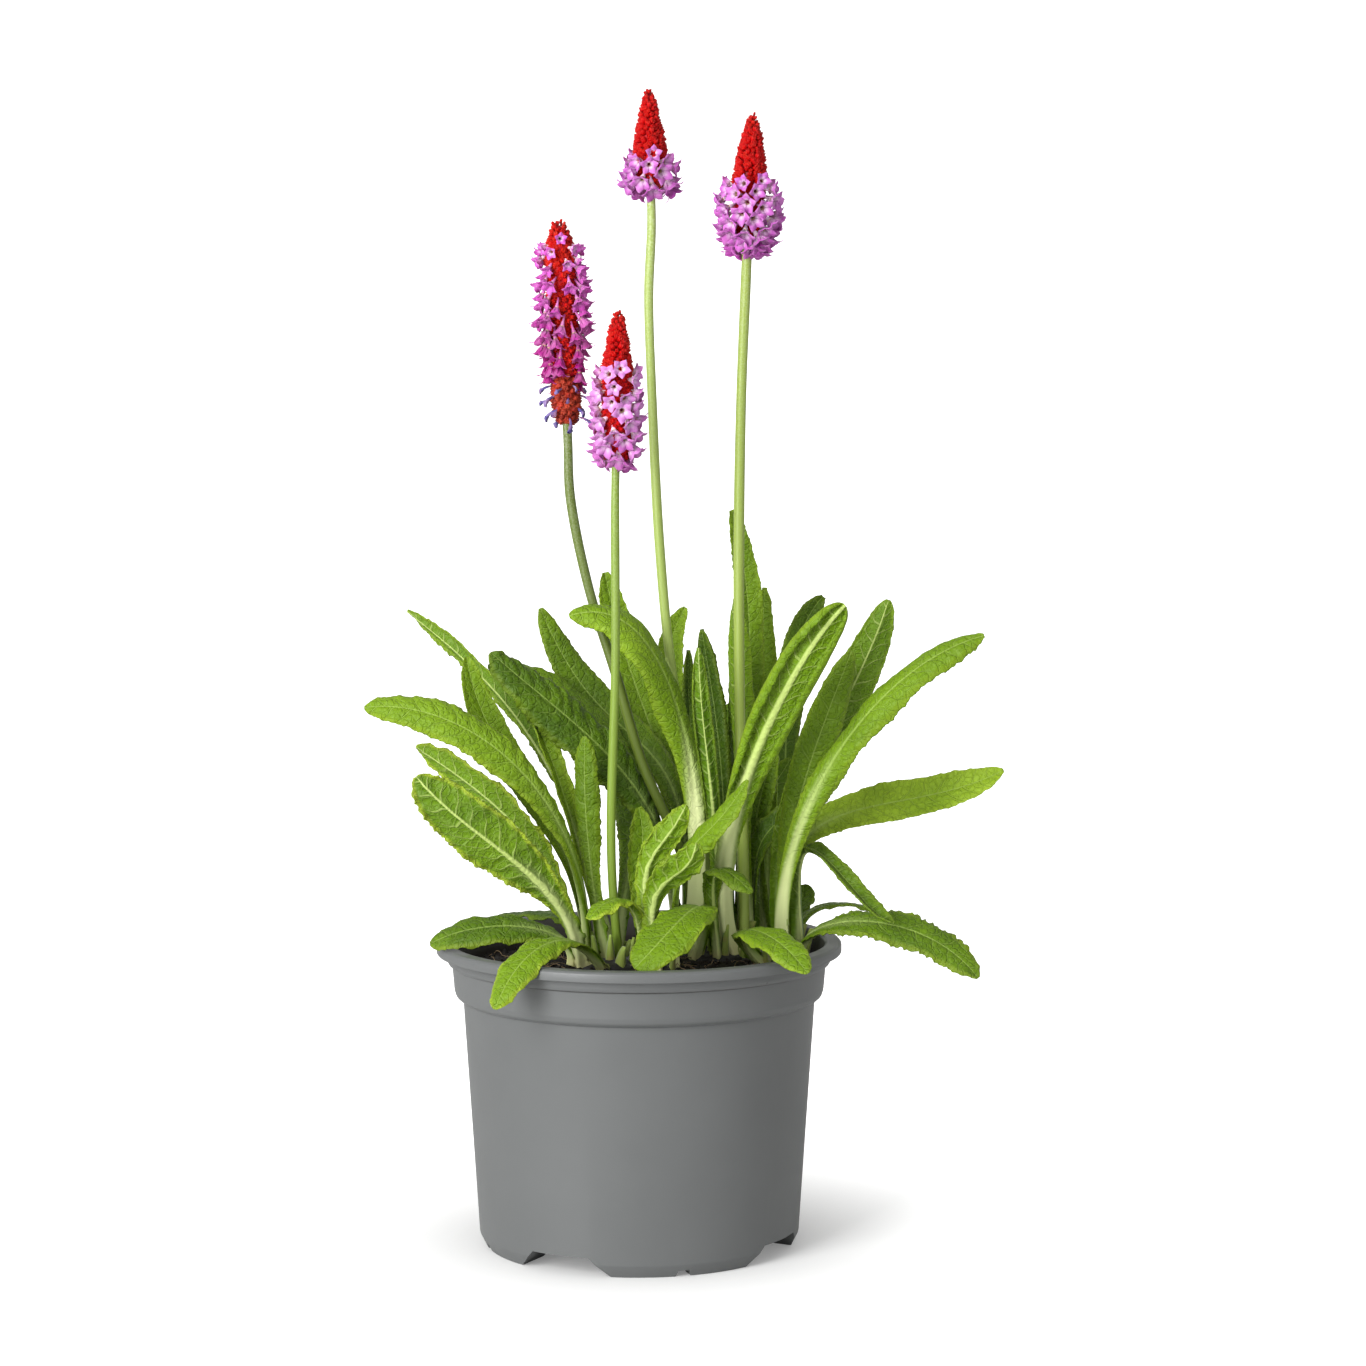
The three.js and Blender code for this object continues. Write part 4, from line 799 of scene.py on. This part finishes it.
def stalk_skin(name, green, meal):
    """A smooth juicy stalk: a waxy satin, fine lengthwise streaks, and white meal under the spike."""
    material, node, place = new_material(name)
    up, around, _ = read_mark(node, "stalk")
    streak = node("TexNoise", node("CombineXYZ", around, up), 5, 3)
    base = [part * 0.72 for part in linear(green)[:3]] + [1]
    pale = [min(1, part * 1.25) for part in linear(green)[:3]] + [1]
    grains = node("TexNoise", place, 1600, 3)
    dust = node(TIMES, node(LINEAR, grains, 0.42, 0.6), node(LINEAR, up, 0.4, 0.95, 0, meal))
    surface(node, streak, 0.2, 0.0002, {
        "Base Color": node(MIX, dust, node(MIX, streak, base, pale), MEAL_WHITE),
        "Roughness": 0.42, "IOR": 1.42})
    return material


for scape_name, (stalk_radius, route, green, meal) in SCAPES.items():
    line = smooth_route(route, STALK_STEPS)
    last = len(line) - 1
    stem = start("stalk_" + scape_name, bpy.ops.mesh.primitive_cylinder_add, vertices=STALK_SIDES,
                 radius=1, depth=1, end_fill_type="TRIFAN")
    bpy.ops.object.mode_set(mode="EDIT")
    for i in range(1, last):
        bpy.ops.mesh.select_all(action="SELECT")
        bpy.ops.mesh.bisect(plane_co=(0, 0, i / last - 0.5), plane_no=(0, 0, 1))
    bpy.ops.object.mode_set(mode="OBJECT")
    marks = []
    for vertex in stem.data.vertices:
        share = vertex.co.z + 0.5
        step = min(last, max(0, round(share * last)))
        ahead = (line[min(step + 1, last)] - line[max(step - 1, 0)]).normalized()
        side = Vector((0, 1, 0)).cross(ahead).normalized()
        front = ahead.cross(side)
        thick = stalk_radius * (1.12 - 0.14 * share + 0.03 * sin(19 * share + stalk_radius * 30))
        marks.append((share, atan2(vertex.co.y, vertex.co.x), 0))
        vertex.co = in_place(*(line[step] + (side * vertex.co.x + front * vertex.co.y) * thick))
    mark(stem, "stalk", marks)
    bpy.ops.object.shade_smooth_by_angle(angle=radians(50))
    stem.data.materials.append(stalk_skin("stalk_skin_" + scape_name, green, meal))
    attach(stem, "root")
    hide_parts("scape_" + scape_name)

# Flower spikes
# A dense head on each stalk. It opens from the bottom: crimson buds still closed at the tip, each a
# ribbed calyx, lilac corollas below them, and on the oldest spike spent ones dried on at the foot.
# Spike: height; the buds' start, radius, taper and number; the open band's foot, top, reach and number
# of flowers, and one in how many are left of those in the front's middle; how far the band is drawn in
# at its foot and at its top, how much its flowers hang, and their size at the foot and at the top; how
# far the lowest and the highest flowers are drawn in to bells; the petals' lower and upper colour; and
# the spent flowers' top and number.
SPIKES = {
    "back_left": (64.6, (52, 5.2, 0.42, 125), (15, 56, 12.2, 92, 2), (0.08, 0.5, 22, 1.1, 0.72), (0.75, 0.45),
                  ("#a20478", "#cc56bc"), (15, 20)),
    "front_left": (46.5, (29, 4.8, 0.52, 170), (0, 29, 9.9, 46, 1), (0.08, 0.3, 4, 1.1, 0.75), (0.3, 0.1),
                   ("#bc56b0", "#cc80c8"), (0, 0)),
    "tallest": (32.5, (12.5, 5.6, 0.55, 190), (1.2, 12.5, 10.5, 25, 1), (0, 0.5, 0, 1.24, 0.72), (0.5, 0.05),
                ("#b04aa8", "#c068bc"), (0, 0)),
    "right": (42, (21, 5.8, 0.57, 250), (0, 21, 13.6, 54, 1), (0.5, 0.5, 0, 1.25, 0.72), (0.35, 0.0),
              ("#b448a8", "#c264be"), (0, 0)),
}
SPIKE_STEPS = 400
SPIKE_SEAT = 3.7
CORE_RADIUS = 4.0
BUD_LENGTH = 2.9
FILLERS_PER_MM = 7
HUSKS = 85
PETAL_REACH = 4.2
PETAL_HALF = 1.72
PETAL_WIDTHS = (0.4, 0.9, 0.9, 0.56, 0.0)
PETAL_THICKNESS = 0.00016
TUBE_RADIUS = 0.62
BUD_CRIMSON, BUD_SHADE, BUD_TIP = "#cc0a0c", "#960508", "#ec3a20"
# Petal colours; the last is a painted highlight for the tips
PETAL_CLOUD, PETAL_VEIN, PETAL_MIDDLE, PETAL_TIP_HIGHLIGHT = "#f0c4ea", "#b054b0", "#f8e4f4", "#f0c8ee"
# The throat's yellowish ring, the painted shade of its opening, and the tube's pink
THROAT_YELLOW, THROAT_HOLE_SHADE, TUBE_PINK = "#dcc690", "#6a1a34", "#b2458f"
CORE_FRESH, CORE_OLD = ("#7d0716", "#c4081a"), ("#7a2212", "#b5452a")
SPENT_VIOLET, SPENT_GREY, SPENT_BROWN = "#544c8e", "#9a86bc", "#8a3320"


def pick_rim(body, rim):
    """Selects the open end of a body, whose corners' numbers are given."""
    for face in body.data.polygons:
        face.select = False
    for edge in body.data.edges:
        edge.select = all(i in rim for i in edge.vertices)
    for vertex in body.data.vertices:
        vertex.select = vertex.index in rim
    bpy.ops.object.mode_set(mode="EDIT")
    bpy.ops.mesh.select_mode(type="EDGE")


def grown_rings(name, rings):
    """A body drawn out of a circle, ring after ring, and closed at its end. All rings have as many
    points, in mm."""
    count = len(rings[0])
    body = start(name, bpy.ops.mesh.primitive_circle_add, vertices=count, radius=1, fill_type="NGON")
    turns = [atan2(v.co.y, v.co.x) % (2 * pi) for v in body.data.vertices]
    rim = {corner: place for place, corner in enumerate(sorted(range(count), key=lambda i: turns[i]))}
    for corner, place in rim.items():
        body.data.vertices[corner].co = Vector(rings[0][place]) / 1000
    for points in rings[1:]:
        old = {tuple(round(part, 9) for part in body.data.vertices[i].co): place for i, place in rim.items()}
        kept = len(body.data.vertices)
        pick_rim(body, rim)
        bpy.ops.mesh.extrude_edges_move()
        bpy.ops.object.mode_set(mode="OBJECT")
        rim = {v.index: old[tuple(round(part, 9) for part in v.co)] for v in body.data.vertices[kept:]}
        for i, place in rim.items():
            body.data.vertices[i].co = Vector(points[place]) / 1000
    pick_rim(body, rim)
    bpy.ops.mesh.edge_face_add()
    bpy.ops.mesh.select_mode(type="VERT")
    bpy.ops.mesh.select_all(action="SELECT")
    bpy.ops.mesh.normals_make_consistent(inside=False)
    bpy.ops.object.mode_set(mode="OBJECT")
    bpy.ops.object.shade_smooth()
    return body


def ring(count, height, radius):
    """Points round a level circle; the radius may depend on the direction."""
    points = []
    for turn in [2 * pi * i / count for i in range(count)]:
        reach = radius(turn) if callable(radius) else radius
        points.append((reach * cos(turn), reach * sin(turn), height))
    return points


def spiral(number):
    """Steps of the spiral that flowers grow in: how far along each one is, and its direction."""
    return [((i + 0.5) / number, i * GOLDEN_TURN) for i in range(number)]


def outward(turn, height, out, slope, roll=0.0):
    """A matrix that lays the z axis out from the spike's core, up by the slope, from a distance."""
    return (Matrix.Rotation(turn, 4, "Z") @ Matrix.Translation((out / 1000, 0, height / 1000))
            @ Matrix.Rotation(pi / 2 - slope, 4, "Y") @ Matrix.Rotation(roll, 4, "Z"))


def onward(distance):
    """A matrix that goes on along the z axis by a distance in mm."""
    return Matrix.Translation((0, 0, distance / 1000))


def flower_skin(name, look, *colours):
    """A petal-like material. Its look makes the colour, relief and finish from the copies' marks."""
    material, node, place = new_material(name)
    colour, relief, finish = look(node, read_mark(node, "local"), read_mark(node, "own"), place, *colours)
    surface(node, relief, 0.6, 0.0002, {"Base Color": colour, "IOR": 1.42, **finish})
    return material


def calyx_look(node, local, own, place):
    """Bud scales: satin crimson, lighter at the tip, with fine ribs, and painted shade that makes them nearly
    black-red at the foot.
    """
    up = node(TIMES_PLUS, node(MINUS, node("TexNoise", place, 700, 2), 0.5), 1.6, local[1])
    # Painted shade: each bud is darkened at its foot, where it tucks in among the others
    colour = node(MIX, node(SMOOTH, up, -0.6, 1), BUD_SHADE, BUD_CRIMSON)
    warm = node(TIMES_PLUS, node(SMOOTH, up, 1.3, 2.9), own[0], own[1])
    ribs = node("Math SINE", node(TIMES, local[2], 10))
    return node(MIX, warm, colour, BUD_TIP), ribs, {"Roughness": 0.45, "Specular IOR Level": 0.3}


def petal_look(node, local, own, place, lower, upper):
    """Petals: thin and velvety, lilac-pink with paler middles, faint veins down each lobe, a yellowish ring
    at the throat round painted shade in dark red for its opening, and a painted highlight on the tips. The
    lowest ones are the oldest and the deepest in colour."""
    radius, height, turn = local
    clouds = node("TexNoise", place, 260, 3)
    colour = node(MIX, node(SMOOTH, own[0], 0, 0.75), lower, upper)
    colour = node(MIX, node(SMOOTH, clouds, 0.42, 0.66, 0, 0.16), colour, PETAL_CLOUD)
    fold = node("Math PINGPONG", node(PLUS, turn, pi / 5), pi / 5)
    across = node(TIMES, node(MINUS, pi / 5, fold), radius)
    vein = node(SMOOTH, node("Math PINGPONG", across, 0.42), 0.03, 0.13, 1, 0)
    vein = node(TIMES, vein, node(SMOOTH, radius, 0.9, 1.4, 0, 0.2))
    colour = node(MIX, vein, colour, PETAL_VEIN)
    paler = node(TIMES, node(SMOOTH, radius, 0.9, 2.4, 1, 0), node(TIMES_PLUS, own[2], -0.6, 0.75))
    paler = node(TIMES, paler, node(SMOOTH, own[0], 0, 0.3))
    colour = node(MIX, paler, colour, PETAL_MIDDLE)
    # Painted highlight: the petal tips are made lighter, as where light catches them
    colour = node(MIX, node(SMOOTH, radius, 2.8, 4.4, 0, 0.2), colour, PETAL_TIP_HIGHLIGHT)
    inside = node(TIMES, node(SMOOTH, radius, 0.78, 0.98, 1, 0), node(SMOOTH, height, -0.25, -0.05))
    colour = node(MIX, inside, colour, THROAT_YELLOW)
    # Painted shade: the closed middle of the throat is darkened to stand for the tube's dark opening
    painted_hole_shade = node(TIMES, node(SMOOTH, radius, 0.5, 0.66, 1, 0), node(SMOOTH, height, -1, -0.8))
    colour = node(MIX, painted_hole_shade, colour, THROAT_HOLE_SHADE)
    colour = node(MIX, node(SMOOTH, height, -3.4, -1.2), TUBE_PINK, colour)
    return colour, clouds, {"Roughness": 0.55, "Specular IOR Level": 0.3, "Sheen Weight": 0.08}


def spent_look(node, local, own, place):
    """Spent flowers: papery and wrinkled, faded from violet to blue-grey, brown at the edges."""
    clouds = node("TexNoise", place, 420, 3)
    colour = node(MIX, node(SMOOTH, clouds, 0.4, 0.62), SPENT_VIOLET, SPENT_GREY)
    brown = node(TIMES, own[1], node(SMOOTH, clouds, 0.35, 0.6))
    return node(MIX, brown, colour, SPENT_BROWN), clouds, {"Roughness": 0.75}


def core_look(node, local, own, place):
    """The spike's core and the calyces on it: crimson to brown-red, dull, hidden between the flowers."""
    clouds = node("TexNoise", place, 500, 3)
    fresh, old = [node(MIX, node(SMOOTH, clouds, 0.35, 0.65), dark, light)
                  for dark, light in (CORE_FRESH, CORE_OLD)]
    return node(MIX, own[1], fresh, old), clouds, {"Roughness": 0.55, "Specular IOR Level": 0.3}


def bud_model():
    """A closed bud: an egg 2.1 mm thick, with five ribs that end in the calyx's teeth, bent in over it."""
    def ribbed(radius):
        return lambda turn: radius * (1 + 0.12 * cos(5 * turn))
    rings = [ring(10, z, ribbed(r)) for z, r in ((-1.6, 0.35), (-0.9, 0.85), (0.1, 1.08), (1.1, 0.95))]
    rings.append([(x, y, z - 0.8 * (i % 2)) for i, (x, y, z) in enumerate(ring(10, 0.8 * BUD_LENGTH, 0.62))])
    return grown_rings("bud", [*rings, ring(10, 1.5, 0.3)])


def floret_model():
    """An open flower: a narrow tube that widens to a cup of five pointed petals, one with each other
    near the throat. One petal is made and turned round the tube."""
    petal = start("petal", bpy.ops.mesh.primitive_grid_add, x_subdivisions=2, y_subdivisions=4, size=2)
    for vertex in petal.data.vertices:
        u, step = vertex.co.x, round((vertex.co.y + 1) * 2)
        share = step / 4
        out = TUBE_RADIUS + (PETAL_REACH - TUBE_RADIUS) * share ** 1.2 - 0.2 * abs(u) * share
        forward = 3.2 * sin(0.5 * pi * share ** 0.9) - 0.3 * share ** 3
        vertex.co = (out / 1000, u * PETAL_WIDTHS[step] * PETAL_HALF / 1000, forward / 1000)
    modified(petal, "SOLIDIFY", thickness=PETAL_THICKNESS, offset=0)
    petals = copies("petals", petal, [(Matrix.Rotation(2 * pi * k / 5, 4, "Z"), None) for k in range(5)])
    tube = grown_rings("tube", [ring(10, z, r) for z, r in (
        (-0.7, 0.3), (-0.1, 0.6), (0.12, 0.8), (-0.3, 0.9), (-1.6, 0.5), (-3.6, 0.4))])
    joined(tube, petals)
    bpy.ops.object.shade_smooth()
    return tube


def calyx_model():
    """The cup that holds a flower: five pointed teeth round the tube."""
    rings = [ring(10, z, r) for z, r in ((-4.6, 0.5), (-3.2, 1.0), (-1.9, 1.05))]
    teeth = ring(10, -0.9, lambda turn: 1.0 if round(turn / (2 * pi) * 10) % 2 else 1.15)
    teeth = [(x, y, z - 1.1 * (i % 2)) for i, (x, y, z) in enumerate(teeth)]
    bent_in = [(x * 0.8, y * 0.8, z - 0.15) for x, y, z in teeth]
    return grown_rings("calyx", [*rings, teeth, bent_in, ring(10, -2.6, 0.6)])


def spent_model(dice):
    """A shrivelled flower: its tube limp and bent, its lobes crumpled to a ragged end."""
    def crumple(radius):
        return lambda turn: radius * (1 + 0.45 * sin(3 * turn + radius * 7) * dice.uniform(0.5, 1.4))
    # Height, radius, and how far it sags to the side
    bends = ((-5.5, 0.35, 0), (-3.6, 0.42, 0), (-1.8, 0.5, 0.3), (-0.6, 0.85, 0.8), (0.4, 1.15, 1.4),
             (1.0, 0.7, 1.9), (0.5, 0.25, 1.9))
    return grown_rings("spent", [[(x + sag, y, z) for x, y, z in ring(9, height, crumple(radius))]
                                 for height, radius, sag in bends])


calyx_crimson = flower_skin("calyx_crimson", calyx_look)
spent_corolla = flower_skin("spent_corolla", spent_look)
core_red = flower_skin("core_red", core_look)

for spike_name, looks in SPIKES.items():
    height, bud_shape, band, band_shape, (low_bell, high_bell), petals, (spent_top, spent_count) = looks
    bud_start, bud_radius, taper, bud_count = bud_shape
    low, high, reach, flower_count, kept = band
    foot_in, top_in, hang, low_size, high_size = band_shape
    oldest = spike_name == "back_left"
    line = smooth_route(SCAPES[spike_name][1], SPIKE_STEPS)
    axis = (line[-1] - line[-2]).normalized()
    upright = Vector((0, 0, 1)).rotation_difference(axis).to_matrix().to_4x4()
    seat = Matrix.Translation(in_place(*(line[-1] - SPIKE_SEAT * axis))) @ upright
    dice = random.Random(len(spike_name) * 11 + int(height))
    # Closed buds, in a spiral that is even over the cone's surface
    cone = height - bud_start
    placings = []
    for i in range(bud_count):
        from_tip = (cone + 2.5) * ((i + 0.4) / bud_count) ** (1 / (1 + taper))
        cone_radius = bud_radius * min(1, from_tip / cone) ** taper
        size = (0.42 + 0.4 * min(1, from_tip / 8)) * dice.uniform(0.82, 1.2)
        slope = radians(80 - 58 * min(1, from_tip / 10) ** 0.5 + dice.uniform(-20, 20))
        out = max(0, cone_radius - 2.3 * size * cos(slope) + dice.uniform(-0.15, 0.3))
        lift = height + 0.9 - from_tip - (2.2 * size * sin(slope) * (1 - min(1, from_tip / 10)) + 0.5)
        lift += dice.uniform(-0.35, 0.35)
        turn = i * GOLDEN_TURN + dice.uniform(-0.2, 0.2)
        warm = 0.45 if oldest else 0.25 * (from_tip < 5)
        placings.append((seat @ outward(turn, lift, out, slope, dice.uniform(0, 6.3))
                         @ Matrix.Scale(size, 4), (dice.random(), warm * dice.random(), 0)))
    buds = copies("buds_" + spike_name, bud_model(), placings, calyx_crimson)
    levels = [bud_start - 0.5 + (cone - 1.5) * k / 9 for k in range(10)]
    bud_core = grown_rings("bud_core", [
        ring(20, h, max(0.3, bud_radius * min(1, (height - h) / cone) ** taper - 1.8)) for h in levels])
    joined(buds, copies("bud_core", bud_core, [(seat, (0, 0, 0))], core_red))
    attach(buds, "root")
    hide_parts(f"spike_{spike_name}_buds")
    # Open flowers round the core, each in its calyx; the lowest ones hang
    flowers, calyces, in_front = [], [], 0
    for share, turn in spiral(flower_count):
        lift = low + 3.4 + (high - low - 4.2 + 0.15 * hang) * share
        slope = radians(-30 + 32 * share ** 0.8 + dice.uniform(-9, 9))
        length = (reach - 4.9) * (1 - top_in * share ** 3 - foot_in * (1 - share) ** 2)
        length *= dice.uniform(0.9, 1.06)
        turn += dice.uniform(-0.15, 0.15)
        in_front += sin(turn) < -0.92
        if sin(turn) < -0.92 and in_front % kept:
            continue
        bell = low_bell + (high_bell - low_bell) * min(1, share * 1.6) + dice.uniform(-0.1, 0.15)
        size = (low_size + (high_size - low_size) * share) * dice.uniform(0.9, 1.08)
        droop = 28 * (1 - share) ** 1.2 + 26 * max(0, bell) + hang * min(1, 5 * (1 - share))
        droop += dice.uniform(-10, 10)
        tube = seat @ outward(turn, lift, 1.2, slope)
        limb = tube @ onward(length - 2.4) @ Matrix.Rotation(radians(droop), 4, "Y") @ onward(2.4)
        limb = limb @ Matrix.Rotation(dice.uniform(-0.25, 0.25), 4, "X")
        limb = limb @ Matrix.Rotation(dice.uniform(0, 6.3), 4, "Z")
        drawn = Matrix.Diagonal((1 - 0.3 * bell, 1 - 0.3 * bell, 1 + 0.35 * bell, 1))
        tone = share ** 1.3 if oldest else min(1, 0.15 + share + dice.uniform(-0.2, 0.3))
        closed = float(hang > 20 and share < 0.85)
        flowers.append((limb @ drawn @ Matrix.Scale(size, 4), (tone, dice.random(), closed)))
        calyces.append((tube @ onward(length - 1.7), (dice.random(), 0, 0)))
    florets = copies("florets_" + spike_name, floret_model(), flowers,
                     flower_skin("petal_" + spike_name, petal_look, *petals))
    cups = copies("cups", calyx_model(), calyces, calyx_crimson)
    core = grown_rings("core", [ring(24, h, r) for h, r in (
        (low - 0.2, CORE_RADIUS if spent_top else 2.0), (low + 2.5, CORE_RADIUS),
        (high, CORE_RADIUS + 0.2), (high + 0.6, CORE_RADIUS - 0.6))])
    core = copies("core", core, [(seat, (0, 0, 0))], core_red)
    # Calyces of flowers still to open fill the gaps on the core
    fillers = []
    for share, turn in spiral(round((high - low) * FILLERS_PER_MM)):
        lift = low + 1.2 + (high - low - 1.0) * share
        size = dice.uniform(0.85, 1.05)
        place = seat @ outward(turn + 0.9, lift, CORE_RADIUS - 0.9, radians(-30 + 45 * share))
        fillers.append((place @ Matrix.Scale(size, 4), (dice.random(), 0.4 * oldest * dice.random(), 0)))
    joined(florets, cups, core, copies("fillers", bud_model(), fillers, calyx_crimson))
    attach(florets, "root")
    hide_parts(f"spike_{spike_name}_florets")
    if spent_top:
        knots, husks = [], []
        for share, turn in spiral(spent_count):
            lift = 2.5 + (spent_top - 3.5) * share
            slope = radians(-32 + 30 * share + dice.uniform(-18, 18))
            turn += dice.uniform(-0.3, 0.3)
            place = seat @ outward(turn, lift, 1.2, slope) @ onward(6.4 + dice.uniform(-1.6, 1.6))
            knots.append((place @ Matrix.Rotation(dice.uniform(-0.9, 0.9), 4, "Z")
                          @ Matrix.Scale(dice.uniform(0.45, 0.9), 4), (0, 0.6 * dice.random(), 0)))
        for share, turn in spiral(HUSKS):
            lift = 0.6 + (spent_top - 0.6) * share
            slope = radians(-20 + 32 * share + dice.uniform(-14, 14))
            place = seat @ outward(turn + 0.5, lift, min(1.5 + 0.5 * lift, CORE_RADIUS) - 0.9, slope)
            husks.append((place @ Matrix.Scale(dice.uniform(0.85, 1.08), 4),
                          (dice.random(), 0.6 + 0.4 * dice.random(), 0)))
        spent = copies("spent_" + spike_name, spent_model(dice), knots, spent_corolla)
        rachis = grown_rings("rachis", [ring(20, h, min(1.7 + 0.45 * h, CORE_RADIUS - 0.2))
                                        for h in [spent_top * k / 6 for k in range(7)]])
        joined(spent, copies("husks", bud_model(), husks, core_red),
               copies("rachis", rachis, [(seat, (0, 1, 0))], core_red))
        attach(spent, "root")
        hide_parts(f"spike_{spike_name}_spent")

# Floor and light
# A white sweep, so wide that its curve is far behind the pot, as on a product table. One tall
# soft box stands at the front left, and the surround is brighter on its side.
SWEEP_HALF, SWEEP_FRONT, SWEEP_BACK, SWEEP_HEIGHT, SWEEP_CURVE = 15, -3, 2.6, 4, 1.2
KEY_PLACE = (-1.05, -1.38, 0.6)
KEY_AIM = (0, 0, 0.18)
KEY_WIDTH, KEY_HEIGHT, KEY_WATTS = 0.8, 1.6, 46
LIGHT_SIDE = (-0.05, -0.95, 0.3)
PAPER_WHITE = "#dcdcdb"


def white_paper():
    """Matt white paper with a fine tooth, under painted light: it glows to the camera alone, and less
    close to the pot, where the shadow stays."""
    material, node, place = new_material("white_paper")
    off_pot = node("VectorMath DISTANCE", place, (*POT_AXIS, 0))
    seen = node("LightPath").node.outputs["Is Camera Ray"]
    # Painted light: the paper glows to the camera, dimmer near the pot so that the cast shadow shows
    painted_glow = node(TIMES, node(LINEAR, off_pot, 0.05, 0.16, 0.2, 1), seen)
    surface(node, node("TexNoise", place, 400, 2), 0.05, 0.0002, {
        "Base Color": PAPER_WHITE, "Roughness": 0.85, "Specular IOR Level": 0.2,
        "Emission Color": "#ffffff", "Emission Strength": painted_glow})
    return material


sweep = start("floor", bpy.ops.mesh.primitive_plane_add, size=2)
for vertex in sweep.data.vertices:
    vertex.co = (vertex.co.x * SWEEP_HALF, SWEEP_FRONT if vertex.co.y < 0 else SWEEP_BACK, 0)
back = {vertex.index: 0 for vertex in sweep.data.vertices if vertex.co.y > 0}
pick_rim(sweep, back)
bpy.ops.mesh.extrude_edges_move(TRANSFORM_OT_translate={"value": (0, 0, SWEEP_HEIGHT)})
bpy.ops.object.mode_set(mode="OBJECT")
modified(sweep, "BEVEL", width=SWEEP_CURVE, segments=12, limit_method="ANGLE")
bpy.ops.object.shade_smooth()
sweep.data.materials.append(white_paper())

key = new_object("key", bpy.data.lights.new("key", "AREA"))
key.data.shape = "RECTANGLE"
key.data.size, key.data.size_y = KEY_WIDTH, KEY_HEIGHT
key.data.energy = KEY_WATTS
key.location = KEY_PLACE
key.rotation_euler = (Vector(KEY_AIM) - Vector(KEY_PLACE)).to_track_quat("-Z", "Y").to_euler()
surround = bpy.data.worlds.new("white_surround")
bpy.context.scene.world = surround
surround.use_nodes = True
sky = surround.node_tree
direction = add_node(sky, "TexCoord").node.outputs["Generated"]
towards_light = add_node(sky, "VectorMath DOT_PRODUCT", direction, LIGHT_SIDE)
brightness = add_node(sky, LINEAR, towards_light, -0.8, 0.9, 0.26, 0.8)
sky.links.new(brightness, sky.nodes["Background"].inputs["Strength"])
sky.nodes["Background"].inputs["Color"].default_value = (1, 1, 1, 1)
bpy.context.scene.view_settings.view_transform = "Standard"
